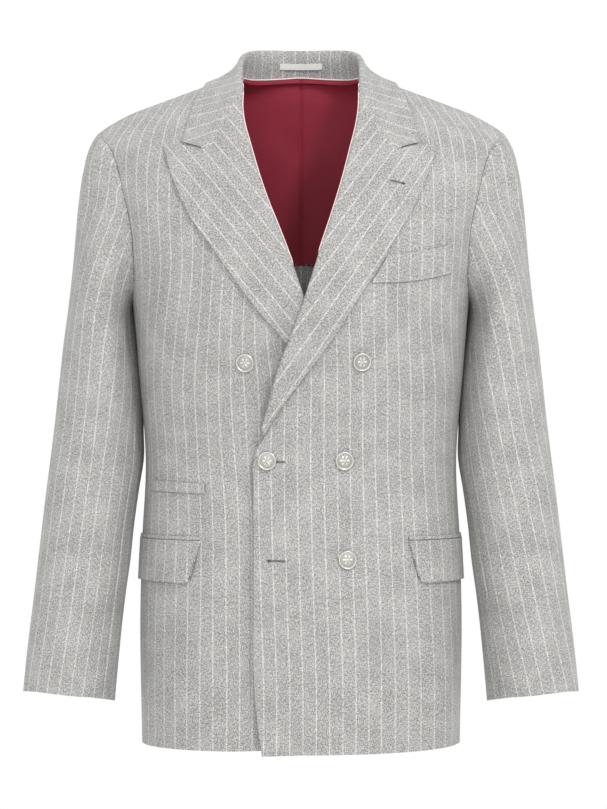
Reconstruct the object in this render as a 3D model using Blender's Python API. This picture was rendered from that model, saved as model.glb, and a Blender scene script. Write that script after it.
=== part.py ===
"""Unstructured double-breasted blazer with peak lapels, hollow and filled out as if worn.

Every cut piece is one thin closed wall. The body is one smooth face, lofted through girth
sections from the front hem, over the shoulders, to the back hem. Panels are cut from that face,
and lapels, collar, flaps, welts, lining and buttons are laid on it from its own points.

Sizes are millimetres and become metres when a mesh is made. The origin is the nape, at the
middle of the back neck seam. X points to the wearer's left, -Y to the front and Z up.
"""
import math
from collections import namedtuple

import bmesh
import bpy
import numpy as np

MM = 0.001

# cloth and seams
CLOTH = 2.0            # body, side, back and sleeve walls
LAPEL_CLOTH = 2.0
COLLAR_CLOTH = 2.2
FLAP_CLOTH = 1.8
WELT_CLOTH = 1.4
LINING_CLOTH = 1.0
SEAM_GAP = 0.3         # between two pieces sewn together
LAY_GAP = 0.8          # between a piece and the panel it lies on

# body face: g is 0 at the front middle, 1 at the side, 2 at the back middle
SEAM_T = 756.0         # the shoulder seam's place along t, which is 0 at the hem
SCYE_T = 488.0         # the underarm level
COLUMNS = 121          # points kept along each half girth
NECK_SOFT = 4.0        # how softly the body face flattens inside the neck

Section = namedtuple("Section", "place t z_side rise x_side y_side y_middle wide run bow tip")
SECTIONS = (
    # place             t   z_side rise x_side y_side y_mid  wide   run   bow  tip
    Section("front hem", 0, -742, 3, 176, -85, -222, 0.62, 0.55, 1.0, 0),
    Section("front hip", 138, -600, -2, 178, -85, -226, 0.62, 0.55, 1.0, 0),
    Section("front pocket", 218, -520, 0, 176, -85, -222, 0.61, 0.55, 1.0, 0),
    Section("front waist", 308, -430, 0, 172, -85, -215, 0.60, 0.55, 1.0, 0),
    Section("front low chest", 398, -340, 0, 179, -85, -225, 0.62, 0.57, 1.0, 0),
    Section("front scye", 488, -250, 2, 187, -86, -234, 0.64, 0.60, 1.0, 0),
    Section("front chest", 548, -190, 12, 196, -87, -224, 0.64, 0.64, 1.0, 0),
    Section("front upper", 608, -133, 36, 209, -96, -190, 0.62, 0.66, 0.9, 0),
    Section("front yoke", 660, -96, 66, 217, -104, -140, 0.60, 0.60, 0.6, 2),
    Section("front ridge", 712, -76, 84, 220, -101, -92, 0.50, 0.50, 0.2, 6),
    Section("shoulder", 756, -66, 86, 221, -88, -45, 0.40, 0.40, 0.0, 7),
    Section("back ridge", 800, -76, 82, 220, -72, 1, 0.50, 0.50, 0.35, 6),
    Section("back yoke", 852, -98, 70, 216, -50, 12, 0.60, 0.60, 0.7, 2),
    Section("back upper", 904, -133, 30, 208, -64, 22, 0.62, 0.64, 0.95, 0),
    Section("back chest", 964, -190, 6, 196, -80, 28, 0.64, 0.62, 1.0, 0),
    Section("back scye", 1024, -250, 0, 187, -86, 27, 0.64, 0.60, 1.0, 0),
    Section("back low chest", 1114, -340, 0, 179, -85, 14, 0.62, 0.58, 1.0, 0),
    Section("back waist", 1204, -430, 0, 172, -85, 2, 0.60, 0.58, 1.0, 0),
    Section("back pocket", 1294, -520, 0, 176, -85, 10, 0.62, 0.58, 1.0, 0),
    Section("back hip", 1374, -600, 0, 178, -85, 19, 0.62, 0.58, 1.0, 0),
    Section("back hem", 1512, -742, 0, 176, -85, 24, 0.62, 0.58, 1.0, 0),
)

# armhole seam, seen from the side, starting at the shoulder tip and going down the front
ArmholePoint = namedtuple("ArmholePoint", "place y z")
ARMHOLE = (
    ArmholePoint("tip", -88, -66),
    ArmholePoint("front top", -104, -79),
    ArmholePoint("front", -111, -100),
    ArmholePoint("front", -130, -135),
    ArmholePoint("front", -140.5, -170),
    ArmholePoint("front", -142, -203),
    ArmholePoint("front seam", -128, -237),
    ArmholePoint("bottom", -92, -251),
    ArmholePoint("back seam", -54, -237),
    ArmholePoint("back", -31, -200),
    ArmholePoint("back", -21, -155),
    ArmholePoint("back", -26, -112),
    ArmholePoint("back top", -52, -77),
)
FRONT_STEPS, UNDER_STEPS, BACK_STEPS = 12, 6, 11     # armhole points in each panel's stretch

# roll line, front edge and lapel outline of each front, on its own side (x, z)
OutlinePoint = namedtuple("OutlinePoint", "x z")
ROLL_OVER = (
    OutlinePoint(64.5, -27), OutlinePoint(64, -42), OutlinePoint(61.5, -61),
    OutlinePoint(54.5, -91), OutlinePoint(44.8, -129), OutlinePoint(33.3, -167),
    OutlinePoint(23, -198), OutlinePoint(6.5, -250), OutlinePoint(-9.8, -295),
    OutlinePoint(-23.8, -332), OutlinePoint(-33, -366), OutlinePoint(-41, -394),
    OutlinePoint(-47, -414), OutlinePoint(-50.5, -440),
)
ROLL_UNDER = (
    OutlinePoint(64.5, -27), OutlinePoint(64.8, -42), OutlinePoint(62.5, -61),
    OutlinePoint(55.2, -89), OutlinePoint(47, -118), OutlinePoint(36.4, -150),
    OutlinePoint(26.2, -175.6), OutlinePoint(9.7, -218.7), OutlinePoint(-5, -262),
    OutlinePoint(-19, -310), OutlinePoint(-31, -350), OutlinePoint(-41, -386),
    OutlinePoint(-47, -410), OutlinePoint(-50.5, -440),
)
EDGE_OVER = (
    OutlinePoint(148, -85), OutlinePoint(142.5, -104), OutlinePoint(132.6, -130),
    OutlinePoint(119.8, -158.5), OutlinePoint(104.5, -184), OutlinePoint(88.2, -213),
    OutlinePoint(71.7, -240), OutlinePoint(55.3, -265), OutlinePoint(40.2, -290),
    OutlinePoint(16.4, -323), OutlinePoint(-5.5, -352), OutlinePoint(-24, -376),
    OutlinePoint(-39.5, -401),
)
EDGE_UNDER = (
    OutlinePoint(150, -85), OutlinePoint(143.5, -108), OutlinePoint(133, -136),
    OutlinePoint(119, -166), OutlinePoint(101.3, -192.2), OutlinePoint(83.5, -216.8),
    OutlinePoint(65.8, -241.8), OutlinePoint(46.4, -267.9), OutlinePoint(26, -292.3),
    OutlinePoint(6, -317), OutlinePoint(-14, -343), OutlinePoint(-25, -357),
)
GORGE = (
    OutlinePoint(64.5, -27), OutlinePoint(72, -39), OutlinePoint(79.5, -53),
    OutlinePoint(86, -67), OutlinePoint(93, -82), OutlinePoint(99.5, -93),
)
COLLAR_CORNER = OutlinePoint(128, -84)
FRONT_EDGE = 51.0          # how far each front passes the middle below the break
HEM_CORNER = 9.0           # how far the front edge draws back at the hem
OVER_HEM = 5.0             # how much lower the over-front hangs at its edge

# folded edges
FOLD_STEPS = 4             # facets round a fold
GORGE_COLUMNS = 6          # columns along the gorge seam
FOLD = 2.6                 # middle radius where a lapel or the collar rolls over
TIGHT_FOLD = 1.8           # the same where the under lapel lies below the over-front
TUCK = 5.4                 # how far the front's own edge stands back from the rolled edge
EASE = 34.0                # width over which the rolled height settles onto the front
PRESS_LAPEL = 6.6          # how far the under side is pressed in below the other's lapel
PRESS_FRONT = 3.0          # and below the plain front
PRESS_WIDTH = 48.0
BREAK_LEVELS = (318.0, 334.0)   # the stretch of t over which the tucked edge starts

# collar, half of it, from the back middle to the gorge
CollarStation = namedtuple("CollarStation", "roll_x roll_y roll_z neck_x neck_y edge_x edge_z behind")
COLLAR = (
    CollarStation(0, -4, 31, 0, 0, 0, -12, 1),
    CollarStation(27, -7, 31, 30, -5, 34, -13, 1),
    CollarStation(47, -18, 30, 54, -20, 66, -16, 1),
    CollarStation(60, -36, 26, 68, -40, 92, -21, 1),
    CollarStation(65.5, -57, 17, 75, -61, 108, -21, 0),
    CollarStation(66, -75, 5, 74, -78, 116, -37, 0),
    CollarStation(65.5, -92, -8, 71, -94, 122.5, -58, 0),
)
NECK_SIDE = (75.0, -60.0)      # the neck point of the shoulder seam (x, y)
STAND_LIFT = 1.7               # the stand starts this far above the neck seam
LEAF_LIFT = 2.2                # the leaf's middle above the body face
RIDGE_LIFT = 0.3               # how much more it stands off over the shoulder seam
MITRE = np.array([0.45, 0.38, 0.30])   # from the lapel's gorge edge to the collar's

# sleeve, left; the ring between the armhole and the cuff, one row for each girth
SleeveRow = namedtuple("SleeveRow", "z_in z_out x_in x_out y_middle depth")
SLEEVE = (
    SleeveRow(-277, -262, 189.2, 256.5, -80, 146),
    SleeveRow(-318, -306, 184.2, 262.0, -83, 140),
    SleeveRow(-372, -362, 179.4, 268.0, -88, 130),
    SleeveRow(-425, -417, 176.2, 274.5, -95, 119),
    SleeveRow(-482, -474, 184.0, 281.5, -104, 110),
    SleeveRow(-538, -530, 189.3, 287.5, -112, 102),
    SleeveRow(-592, -585, 196.5, 293.0, -118, 95),
    SleeveRow(-646, -638, 202.3, 299.0, -122, 90),
    SleeveRow(-694, -684, 206.5, 303.5, -125, 86),
)
CAP_ROWS, SLEEVE_ROWS = 6, 11
SLEEVE_SKEW = 9.0              # how far the sleeve's inner side leans in behind the body

# pockets: corners on the right front (x, z); the left hip pocket mirrors the right
FLAP_TOP, FLAP_DEPTH, FLAP_LENGTH = -515.5, 45.5, 138.0
FLAP_SLANT, FLAP_CORNER, JET_DEPTH = 11.0, 9.0, 4.4
FLAP_FRONT_LEFT, FLAP_FRONT_RIGHT = 115.5, 107.0
BREAST_WELT_TOP = (OutlinePoint(93.5, -208.8), OutlinePoint(118, -206.3), OutlinePoint(145, -200.5),
                   OutlinePoint(161, -196.5))
BREAST_WELT_FOOT = (OutlinePoint(74.8, -239.5), OutlinePoint(110, -238), OutlinePoint(142, -232.3),
                    OutlinePoint(162, -226.8))
TICKET_WELT_TOP = (OutlinePoint(103, -454.3), OutlinePoint(132, -453.2), OutlinePoint(162, -451.5))
TICKET_WELT_FOOT = (OutlinePoint(103, -464.8), OutlinePoint(132, -464.2), OutlinePoint(162, -463))

BUTTON_D, BUTTON_THICK = 20.0, 3.2
Button = namedtuple("Button", "name x z lift")   # lift: its foot above the body face
BUTTONS = (
    Button("button_top_right", -59.4, -324.7, 0.3), Button("button_top_left", 64.9, -323.6, 0.45),
    Button("button_middle_right", -35.8, -429.3, 0.8), Button("button_middle_left", 46.4, -429.3, 0.8),
    Button("button_low_left", 49.6, -535.1, -0.2),
)

LINING_FOOT = -210.0           # lower edge of the back half-lining
LINING_EDGE = 3.0              # how far it stops short of the armhole
LINING_LAY = 1.3               # between it and the back
LOOP_WIDTH, LOOP_HEIGHT, LOOP_Z = 48.0, 7.0, 13.5

FLANNEL = (0.52, 0.51, 0.50, 1.0)
FLANNEL_LIGHT = (0.56, 0.55, 0.54, 1.0)
SATIN = (0.16, 0.018, 0.028, 1.0)
TAPE = (0.57, 0.57, 0.55, 1.0)
METAL = (0.53, 0.52, 0.49, 1.0)


# ---------------------------------------------------------------- curves
def spline(knots, values, at):
    """Smooth curve through rows of values at rising knots; straight beyond its ends."""
    knots = np.asarray(knots, float)
    values = np.asarray(values, float)
    at = np.asarray(at, float)
    step = np.diff(knots)
    slope = np.diff(values, axis=0) / step[:, None]
    bend = np.empty_like(values)
    bend[0], bend[-1] = slope[0], slope[-1]
    bend[1:-1] = (slope[:-1] * step[1:, None] + slope[1:] * step[:-1, None]) / (
        step[1:] + step[:-1])[:, None]
    place = np.clip(np.searchsorted(knots, at, side="right") - 1, 0, len(knots) - 2)
    width = step[place]
    u = ((at - knots[place]) / width)[..., None]
    width = width[..., None]
    inside = np.clip(u, 0, 1)
    curve = ((1 + 2 * inside) * (1 - inside) ** 2 * values[place]
             + inside * (1 - inside) ** 2 * width * bend[place]
             + inside ** 2 * (3 - 2 * inside) * values[place + 1]
             + inside ** 2 * (inside - 1) * width * bend[place + 1])
    beyond = (u - inside) * width
    return curve + beyond * np.where(u > 1, bend[place + 1], bend[place])


def lengths(points):
    """Running length along a line of points."""
    steps = np.linalg.norm(np.diff(points, axis=0), axis=1)
    return np.concatenate([[0.0], np.cumsum(steps)])


def resample(points, count, dense=40):
    """Even points along the smooth curve through a few points."""
    points = np.asarray(points, float)
    knots = lengths(points)
    fine = spline(knots, points, np.linspace(0, knots[-1], dense * len(points)))
    run = lengths(fine)
    even = np.linspace(0, run[-1], count)
    return np.stack([np.interp(even, run, fine[:, k]) for k in range(points.shape[1])], axis=1)


def smooth_step(u):
    """0 below 0, 1 above 1, and a soft S between."""
    u = np.clip(u, 0.0, 1.0)
    return u * u * (3 - 2 * u)


# ---------------------------------------------------------------- body face
def girth(section):
    """Half a girth section, front or back middle to side, as evenly spaced points."""
    s = np.linspace(0, 1, 400)
    middle = np.array([0.0, section.y_middle])
    side = np.array([section.x_side, section.y_side], float)
    flat = middle + (side - middle) * np.array([[1 / 3], [2 / 3]])
    full = np.array([
        [section.wide * section.x_side, section.y_middle],
        [section.x_side, section.y_side + section.run * (section.y_middle - section.y_side)]])
    handle = flat + (full - flat) * section.bow
    plan = ((1 - s) ** 3)[:, None] * middle + (3 * s * (1 - s) ** 2)[:, None] * handle[0]
    plan += (3 * s * s * (1 - s))[:, None] * handle[1] + (s ** 3)[:, None] * side
    across = plan[:, 0] / section.x_side
    drop = section.tip * (1 - np.clip((across - 0.8) / 0.2, 0, 1) ** 2)
    z = section.z_side + drop + section.rise * (1 - across)
    curve = np.column_stack([plan, z])
    run = lengths(curve)
    even = np.linspace(0, run[-1], COLUMNS)
    return np.stack([np.interp(even, run, curve[:, k]) for k in range(3)], axis=1)


FORM_T = np.array([section.t for section in SECTIONS], float)
FORM = np.array([girth(section) for section in SECTIONS])


def form(g, t):
    """Point of the body's outer face, left half; g below 0 passes the front middle."""
    g, t = np.broadcast_arrays(np.asarray(g, float), np.asarray(t, float))
    shape = g.shape
    g, t = g.ravel(), t.ravel()
    front = g <= 1
    q = np.where(front, g, 2 - g)
    along = np.where(front, t, 2 * SEAM_T - t)
    flip = np.where(q < 0, -1.0, 1.0)
    column = np.clip(np.abs(q), 0, 1) * (COLUMNS - 1)
    low = np.clip(column.astype(int), 0, COLUMNS - 2)
    part = (column - low)[:, None]
    step = np.diff(FORM_T)
    place = np.clip(np.searchsorted(FORM_T, along, side="right") - 1, 0, len(FORM_T) - 2)

    def rows(index):
        index = np.clip(index, 0, len(FORM_T) - 1)
        return FORM[index, low] * (1 - part) + FORM[index, low + 1] * part

    here, after = rows(place), rows(place + 1)
    before, beyond = rows(place - 1), rows(place + 2)
    width = step[place][:, None]
    width_before = step[np.maximum(place - 1, 0)][:, None]
    width_after = step[np.minimum(place + 1, len(step) - 1)][:, None]
    slope = (after - here) / width
    first, last = (place == 0)[:, None], (place == len(step) - 1)[:, None]
    start = np.where(first, slope, (((here - before) / width_before) * width + slope * width_before)
                     / (width + width_before))
    end = np.where(last, slope, (slope * width_after + ((beyond - after) / width_after) * width)
                   / (width + width_after))
    u = ((along - FORM_T[place]) / step[place])[:, None]
    point = ((1 + 2 * u) * (1 - u) ** 2 * here + u * (1 - u) ** 2 * width * start
             + u ** 2 * (3 - 2 * u) * after + u ** 2 * (u - 1) * width * end)
    point[:, 0] *= flip
    point[:, 2] = -NECK_SOFT * np.logaddexp(0.0, -point[:, 2] / NECK_SOFT)
    return point.reshape(shape + (3,))


def normal(g, t):
    """Outward direction of the body face."""
    g, t = np.broadcast_arrays(np.asarray(g, float), np.asarray(t, float))
    step_g, step_t = 0.006, 1.5
    open_side = t > SCYE_T
    high = np.where(open_side & (g <= 1), np.minimum(g + step_g, 1.0), g + step_g)
    low = np.where(open_side & (g > 1), np.maximum(g - step_g, 1.0 + 1e-9), g - step_g)
    across = form(high, t) - form(low, t)
    up = form(g, t + step_t) - form(g, t - step_t)
    n = np.cross(across, up)
    return n / np.linalg.norm(n, axis=-1, keepdims=True)


def locate(g, t, **wanted):
    """Slide (g, t) over the body face until two of x, y, z are as wanted."""
    axes = ["xyz".index(name) for name in wanted]
    goal = np.stack(np.broadcast_arrays(*[np.asarray(v, float) for v in wanted.values()]), -1)
    g = np.broadcast_to(np.asarray(g, float), goal.shape[:-1]).copy()
    t = np.broadcast_to(np.asarray(t, float), goal.shape[:-1]).copy()
    for _ in range(40):
        miss = goal - form(g, t)[..., axes]
        dg = (form(g + 0.003, t) - form(g - 0.003, t))[..., axes] / 0.006
        dt = (form(g, t + 0.7) - form(g, t - 0.7))[..., axes] / 1.4
        det = dg[..., 0] * dt[..., 1] - dg[..., 1] * dt[..., 0]
        det = np.where(np.abs(det) < 1e-3, 1e-3, det)
        g = g + np.clip((miss[..., 0] * dt[..., 1] - miss[..., 1] * dt[..., 0]) / det, -0.08, 0.08)
        t = t + np.clip((dg[..., 0] * miss[..., 1] - dg[..., 1] * miss[..., 0]) / det, -20, 20)
    return g, t


def on_front(x, z):
    """Place of a point of the front view on the front of the body face."""
    x, z = np.asarray(x, float), np.asarray(z, float)
    return locate(np.clip(x / 260, -0.25, 0.8), np.clip(z + 738, 0, 690), x=x, z=z)


def on_back(x, z):
    """Place of a point of the back view on the back of the body face."""
    x, z = np.asarray(x, float), np.asarray(z, float)
    return locate(2 - np.clip(x / 260, 0, 0.8), np.clip(z + 738, 0, 690), x=x, z=z)


def armhole():
    """(g, t) of the armhole seam, from the shoulder tip down the front and up the back."""
    points = np.array([(p.y, p.z) for p in ARMHOLE + ARMHOLE[:1]], float)
    knots = lengths(points)
    closed = np.concatenate([points[-3:-1], points, points[1:3]])
    longer = np.concatenate([knots[-3:-1] - knots[-1], knots, knots[-1] + knots[1:3]])
    front_seam = [p.place for p in ARMHOLE].index("front seam")
    back_seam = [p.place for p in ARMHOLE].index("back seam")
    stretches = ((0, front_seam, FRONT_STEPS), (front_seam, back_seam, UNDER_STEPS),
                 (back_seam, len(ARMHOLE), BACK_STEPS))
    ring = []
    for start, end, steps in stretches:
        fine = spline(longer, closed, np.linspace(knots[start], knots[end], 400))
        run = lengths(fine)
        even = np.linspace(0, run[-1], steps + 1)[:-1]
        ring += list(zip(np.interp(even, run, fine[:, 0]), np.interp(even, run, fine[:, 1])))
    ring = np.array(ring)
    bottom = [p for p in ARMHOLE if p.place == "bottom"][0]
    ahead = ring[:, 0] < bottom.y
    ahead[:FRONT_STEPS] = True
    ahead[FRONT_STEPS + UNDER_STEPS:] = False
    g, t = locate(np.where(ahead, 0.93, 1.07), np.clip(ring[:, 1] + 738, 480, 740),
                  y=ring[:, 0], z=ring[:, 1])
    g[0], t[0] = 1.0, SEAM_T
    return g, t


# ---------------------------------------------------------------- walls
def off_body(points, lift):
    """Points moved out, where they must, until they stand at least lift off the body face."""
    points = np.array(points, float)
    ok_g = np.concatenate([np.linspace(0, 1, 90), np.linspace(1.0001, 2, 90)])
    g, t = np.meshgrid(ok_g, np.linspace(500, SEAM_T, 130))
    face, out = form(g, t).reshape(-1, 3), normal(g, t).reshape(-1, 3)
    for k, point in enumerate(points):
        near = np.argmin(np.sum((face - point) ** 2, axis=1))
        height = np.dot(point - face[near], out[near])
        if height < lift:
            points[k] = point + out[near] * (lift - height)
    return points


def sheet_normals(grid):
    """Unit normals of a grid of points, from its neighbours."""
    along = np.gradient(grid, axis=0)
    across = np.gradient(grid, axis=1)
    n = np.cross(across, along)
    return n / np.linalg.norm(n, axis=-1, keepdims=True)


def trimmed(grid, start=0.0, end=0.0, left=0.0, right=0.0):
    """A grid whose border rows (start, end) and columns (left, right) draw in by a few tenths."""
    grid = grid.copy()

    def draw(border, inner, distance):
        way = inner - border
        return border + way * (distance / np.linalg.norm(way, axis=-1, keepdims=True))

    if start:
        grid[0] = draw(grid[0], grid[1], start)
    if end:
        grid[-1] = draw(grid[-1], grid[-2], end)
    if left:
        grid[:, 0] = draw(grid[:, 0], grid[:, 1], left)
    if right:
        grid[:, -1] = draw(grid[:, -1], grid[:, -2], right)
    return grid


def material(name, colour, rough, metal=0.0):
    """A plain surface of one colour."""
    made = bpy.data.materials.new(name)
    made.use_nodes = True
    surface = made.node_tree.nodes["Principled BSDF"]
    surface.inputs["Base Color"].default_value = colour
    surface.inputs["Roughness"].default_value = rough
    surface.inputs["Metallic"].default_value = metal
    return made


def place_object(name, verts, faces, surface):
    """An object from points in millimetres."""
    mesh = bpy.data.meshes.new(name)
    mesh.from_pydata([tuple(p * MM) for p in np.asarray(verts, float)], [], faces)
    mesh.validate()
    shape = bmesh.new()
    shape.from_mesh(mesh)
    bmesh.ops.recalc_face_normals(shape, faces=shape.faces)
    shape.to_mesh(mesh)
    shape.free()
    mesh.materials.append(surface)
    made = bpy.data.objects.new(name, mesh)
    bpy.context.scene.collection.objects.link(made)
    mesh.shade_smooth()
    mesh.set_sharp_from_angle(angle=math.radians(40))
    return made


def wall(name, grid, thick, surface, mirror=False, n=None):
    """A closed cloth wall around a grid of middle points, along their normals."""
    n = sheet_normals(grid) if n is None else n
    if mirror:
        flip = np.array([-1.0, 1.0, 1.0])
        grid, n = grid * flip, n * flip
    rows, cols = grid.shape[:2]
    outer = (grid + n * thick / 2).reshape(-1, 3)
    inner = (grid - n * thick / 2).reshape(-1, 3)
    count = rows * cols

    def at(r, c, side=0):
        return r * cols + c + side * count

    faces = []
    for r in range(rows - 1):
        for c in range(cols - 1):
            faces.append((at(r, c), at(r, c + 1), at(r + 1, c + 1), at(r + 1, c)))
            faces.append((at(r, c, 1), at(r + 1, c, 1), at(r + 1, c + 1, 1), at(r, c + 1, 1)))
    for c in range(cols - 1):
        faces.append((at(0, c), at(0, c, 1), at(0, c + 1, 1), at(0, c + 1)))
        faces.append((at(rows - 1, c), at(rows - 1, c + 1), at(rows - 1, c + 1, 1),
                      at(rows - 1, c, 1)))
    for r in range(rows - 1):
        faces.append((at(r, 0), at(r + 1, 0), at(r + 1, 0, 1), at(r, 0, 1)))
        faces.append((at(r, cols - 1), at(r, cols - 1, 1), at(r + 1, cols - 1, 1),
                      at(r + 1, cols - 1)))
    return place_object(name, np.concatenate([outer, inner]), faces, surface)


# ---------------------------------------------------------------- panels
def press(x, z, over_edge):
    """How far the under side is pushed in below the over-front; x, z are on its own side."""
    gap = -x - over_edge(z)
    depth = PRESS_FRONT + (PRESS_LAPEL - PRESS_FRONT) * smooth_step((z + 405) / 30)
    return depth * smooth_step((gap + PRESS_WIDTH) / PRESS_WIDTH)


def edge_function(roll):
    """x of a front's rolled or plain edge at a height, on its own side."""
    z = np.array([p.z for p in roll][::-1], float)
    x = np.array([[p.x] for p in roll][::-1], float)

    def edge(height):
        height = np.asarray(height, float)
        curve = spline(z, x, np.maximum(height, z[0]))[..., 0]
        hem = HEM_CORNER * np.clip((-640 - height) / 100, 0, 1) ** 2
        return np.maximum(curve, -FRONT_EDGE) + hem
    return edge


OVER_EDGE = edge_function(ROLL_OVER)
UNDER_EDGE = edge_function(ROLL_UNDER)


def front_levels(t_join):
    """Heights of the rows below the armhole's front seam."""
    below = np.linspace(0, BREAK_LEVELS[0], 8)
    return np.concatenate([below, np.linspace(BREAK_LEVELS[1], t_join, 6)])


def side_line(t, t_join, g_join, g_hem):
    """Where a lower seam runs: from the hem up to its armhole point."""
    return g_hem + (g_join - g_hem) * smooth_step(np.asarray(t) / t_join)


FRONT_SIDE_HEM, BACK_SIDE_HEM = 0.86, 1.17


def front_panel(edge, ring_g, ring_t, hem=0.0, columns=10):
    """(g, t) grid of a front, its own edge at the left; hem is how much longer it hangs there."""
    join = FRONT_STEPS
    low = front_levels(ring_t[join])
    levels = np.concatenate([low[:-1], ring_t[join::-1]])
    outer = np.concatenate([side_line(low[:-1], ring_t[join], ring_g[join], FRONT_SIDE_HEM),
                            ring_g[join::-1]])
    heights = np.linspace(-742, GORGE[0].z, 160)
    tuck = TUCK * smooth_step((heights + 418) / 14)
    edge_g, edge_t = on_front(edge(heights) + tuck, heights)
    neck = np.array([(c.neck_x, c.neck_y) for c in COLLAR if not c.behind][::-1] + [NECK_SIDE], float)
    neck_g, neck_t = locate(0.32, 735.0, x=neck[:, 0], y=neck[:, 1])
    neck_t[-1] = SEAM_T
    edge_g = np.concatenate([edge_g, neck_g])
    edge_t = np.concatenate([edge_t, neck_t])
    inner = np.interp(levels, edge_t, edge_g)
    part = np.linspace(0, 1, columns)
    g = inner[:, None] + (outer - inner)[:, None] * part
    t = np.repeat(levels[:, None], columns, axis=1)
    t[0] -= hem * (1 - part)
    return g, t


def side_panel(ring_g, ring_t):
    """(g, t) grid of a side panel, hem to armhole."""
    first, last = FRONT_STEPS, FRONT_STEPS + UNDER_STEPS
    low = front_levels(ring_t[first]) / ring_t[first]
    top_g, top_t = ring_g[first:last + 1], ring_t[first:last + 1]
    t = low[:, None] * top_t
    hem_g = np.linspace(FRONT_SIDE_HEM, BACK_SIDE_HEM, UNDER_STEPS + 1)
    g = hem_g + (top_g - hem_g) * smooth_step(low)[:, None]
    return g, t


def neck_line():
    """(g, t) of the back neck seam, from the nape to the neck point."""
    x = np.array([s.neck_x for s in COLLAR if s.behind] + [NECK_SIDE[0]], float)
    y = np.array([s.neck_y for s in COLLAR if s.behind] + [NECK_SIDE[1]], float)
    plan = resample(np.column_stack([x, y]), 24)
    g, t = locate(2 - np.clip(plan[:, 0] / 250, 0, 0.35), 745.0 - 30 * (1 - plan[:, 0] / 75),
                  x=plan[:, 0], y=plan[:, 1])
    t[-1] = SEAM_T
    return g, t


def back_panel(ring_g, ring_t, columns=12):
    """(g, t) grid of a back panel, side at the left, back middle at the right."""
    join = FRONT_STEPS + UNDER_STEPS
    low = front_levels(ring_t[join])
    upper_g = np.append(ring_g[join:], 1.0)
    upper_t = np.append(ring_t[join:], SEAM_T)
    levels = np.concatenate([low[:-1], upper_t])
    outer = np.concatenate([side_line(low[:-1], ring_t[join], ring_g[join], BACK_SIDE_HEM), upper_g])
    neck_g, neck_t = neck_line()
    n_g = neck_g[-1]
    shoulder = np.linspace(0, (n_g - 1.0), columns - 4)
    opening = np.linspace(n_g - 1.0, 1.0, 5)[1:]
    part = np.concatenate([shoulder, opening])
    g = outer[:, None] + (2 - outer)[:, None] * part
    top_g = 1 + part
    top_t = np.interp(top_g, neck_g[::-1], neck_t[::-1])
    top_t = np.where(top_g <= n_g + 1e-6, SEAM_T, top_t)
    bend = 560.0
    share = np.clip((levels - bend) / (SEAM_T - bend), 0, 1)[:, None]
    t = levels[:, None] + share * (top_t - SEAM_T)
    return g, t


def body_wall(g, t, pressed=None):
    """Middle points of a body panel's wall, and its normals."""
    outer, n = form(g, t), normal(g, t)
    sink = np.full(g.shape, CLOTH / 2)
    if pressed is not None:
        sink = sink + press(outer[..., 0], outer[..., 2], pressed)
    return outer - n * sink[..., None], n


# ---------------------------------------------------------------- lapels
def lapel(roll, edge, under=False, rows=19):
    """Middle points of a lapel: a short run below the roll, the fold, and the turned side."""
    roll = np.array([(p.x, p.z) for p in roll], float)
    edge = np.array([(p.x, p.z) for p in edge], float)
    foot = edge[-1, 1] - 8
    roll = roll[roll[:, 1] > foot]
    gorge = np.array([(p.x, p.z) for p in GORGE], float)
    top = np.concatenate([gorge, edge[:1]])
    roll = resample(roll[::-1], rows)
    edge = resample(edge[::-1], rows)
    run = lengths(top) / lengths(top)[-1]
    knee = run[len(gorge) - 1]
    part = np.concatenate([np.linspace(0, knee, GORGE_COLUMNS), np.linspace(knee, 1, 4)[1:]])
    top = np.column_stack([np.interp(part, run, top[:, 0]), np.interp(part, run, top[:, 1])])
    v = np.linspace(0, 1, rows)[:, None, None]
    u = part[None, :, None]
    plane = (1 - u) * roll[:, None] + u * edge[:, None]
    chord = (1 - u) * top[0] + u * top[-1]
    plane = plane + v ** 1.6 * (top[None] - chord)
    g, t = on_front(plane[..., 0], plane[..., 1])
    face = form(g, t)
    out = normal(g, t)

    grid = []
    for r in range(rows):
        row_run = lengths(face[r])
        along = face[min(r + 1, rows - 1), 0] - face[max(r - 1, 0), 0]
        away = face[r, 1] - face[r, 0]
        turn = np.linalg.norm(np.cross(along, away)) / (np.linalg.norm(along) * np.linalg.norm(away))
        radius = 1.5 + (FOLD - 1.5) * smooth_step((roll[r, 1] + 405) / 60)
        if under:
            radius = TIGHT_FOLD + (FOLD - TIGHT_FOLD) * smooth_step((roll[r, 1] + 255) / 50)
        lean = roll[min(r + 1, rows - 1)] - roll[max(r - 1, 0)]
        hidden_end = TUCK * lean[1] / np.linalg.norm(lean) - 0.7
        profile = [(hidden_end, -CLOTH / 2), (radius, -CLOTH / 2)]
        for k in range(1, FOLD_STEPS):
            angle = math.pi * k / FOLD_STEPS
            profile.append((radius - radius * math.sin(angle),
                            -CLOTH / 2 + radius - radius * math.cos(angle)))
        high = -CLOTH / 2 + 2 * radius
        low = LAY_GAP + LAPEL_CLOTH / 2
        reach = row_run[-1] * turn
        first = radius * 1.05
        for share in part:
            d = first + (reach - first) * share
            settle = smooth_step((d - first) / EASE)
            profile.append((d, high + (low - high) * settle))
        row = []
        for d, h in profile:
            place = d / turn
            base = np.array([np.interp(place, row_run, face[r, :, k]) for k in range(3)])
            if place > row_run[-1]:
                base = face[r, -1]
            n = np.array([np.interp(place, row_run, out[r, :, k]) for k in range(3)])
            n /= np.linalg.norm(n)
            sink = press(base[0], base[2], OVER_EDGE) if under else 0.0
            row.append(base + n * (h - sink))
        grid.append(row)
    return np.array(grid)


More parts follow.
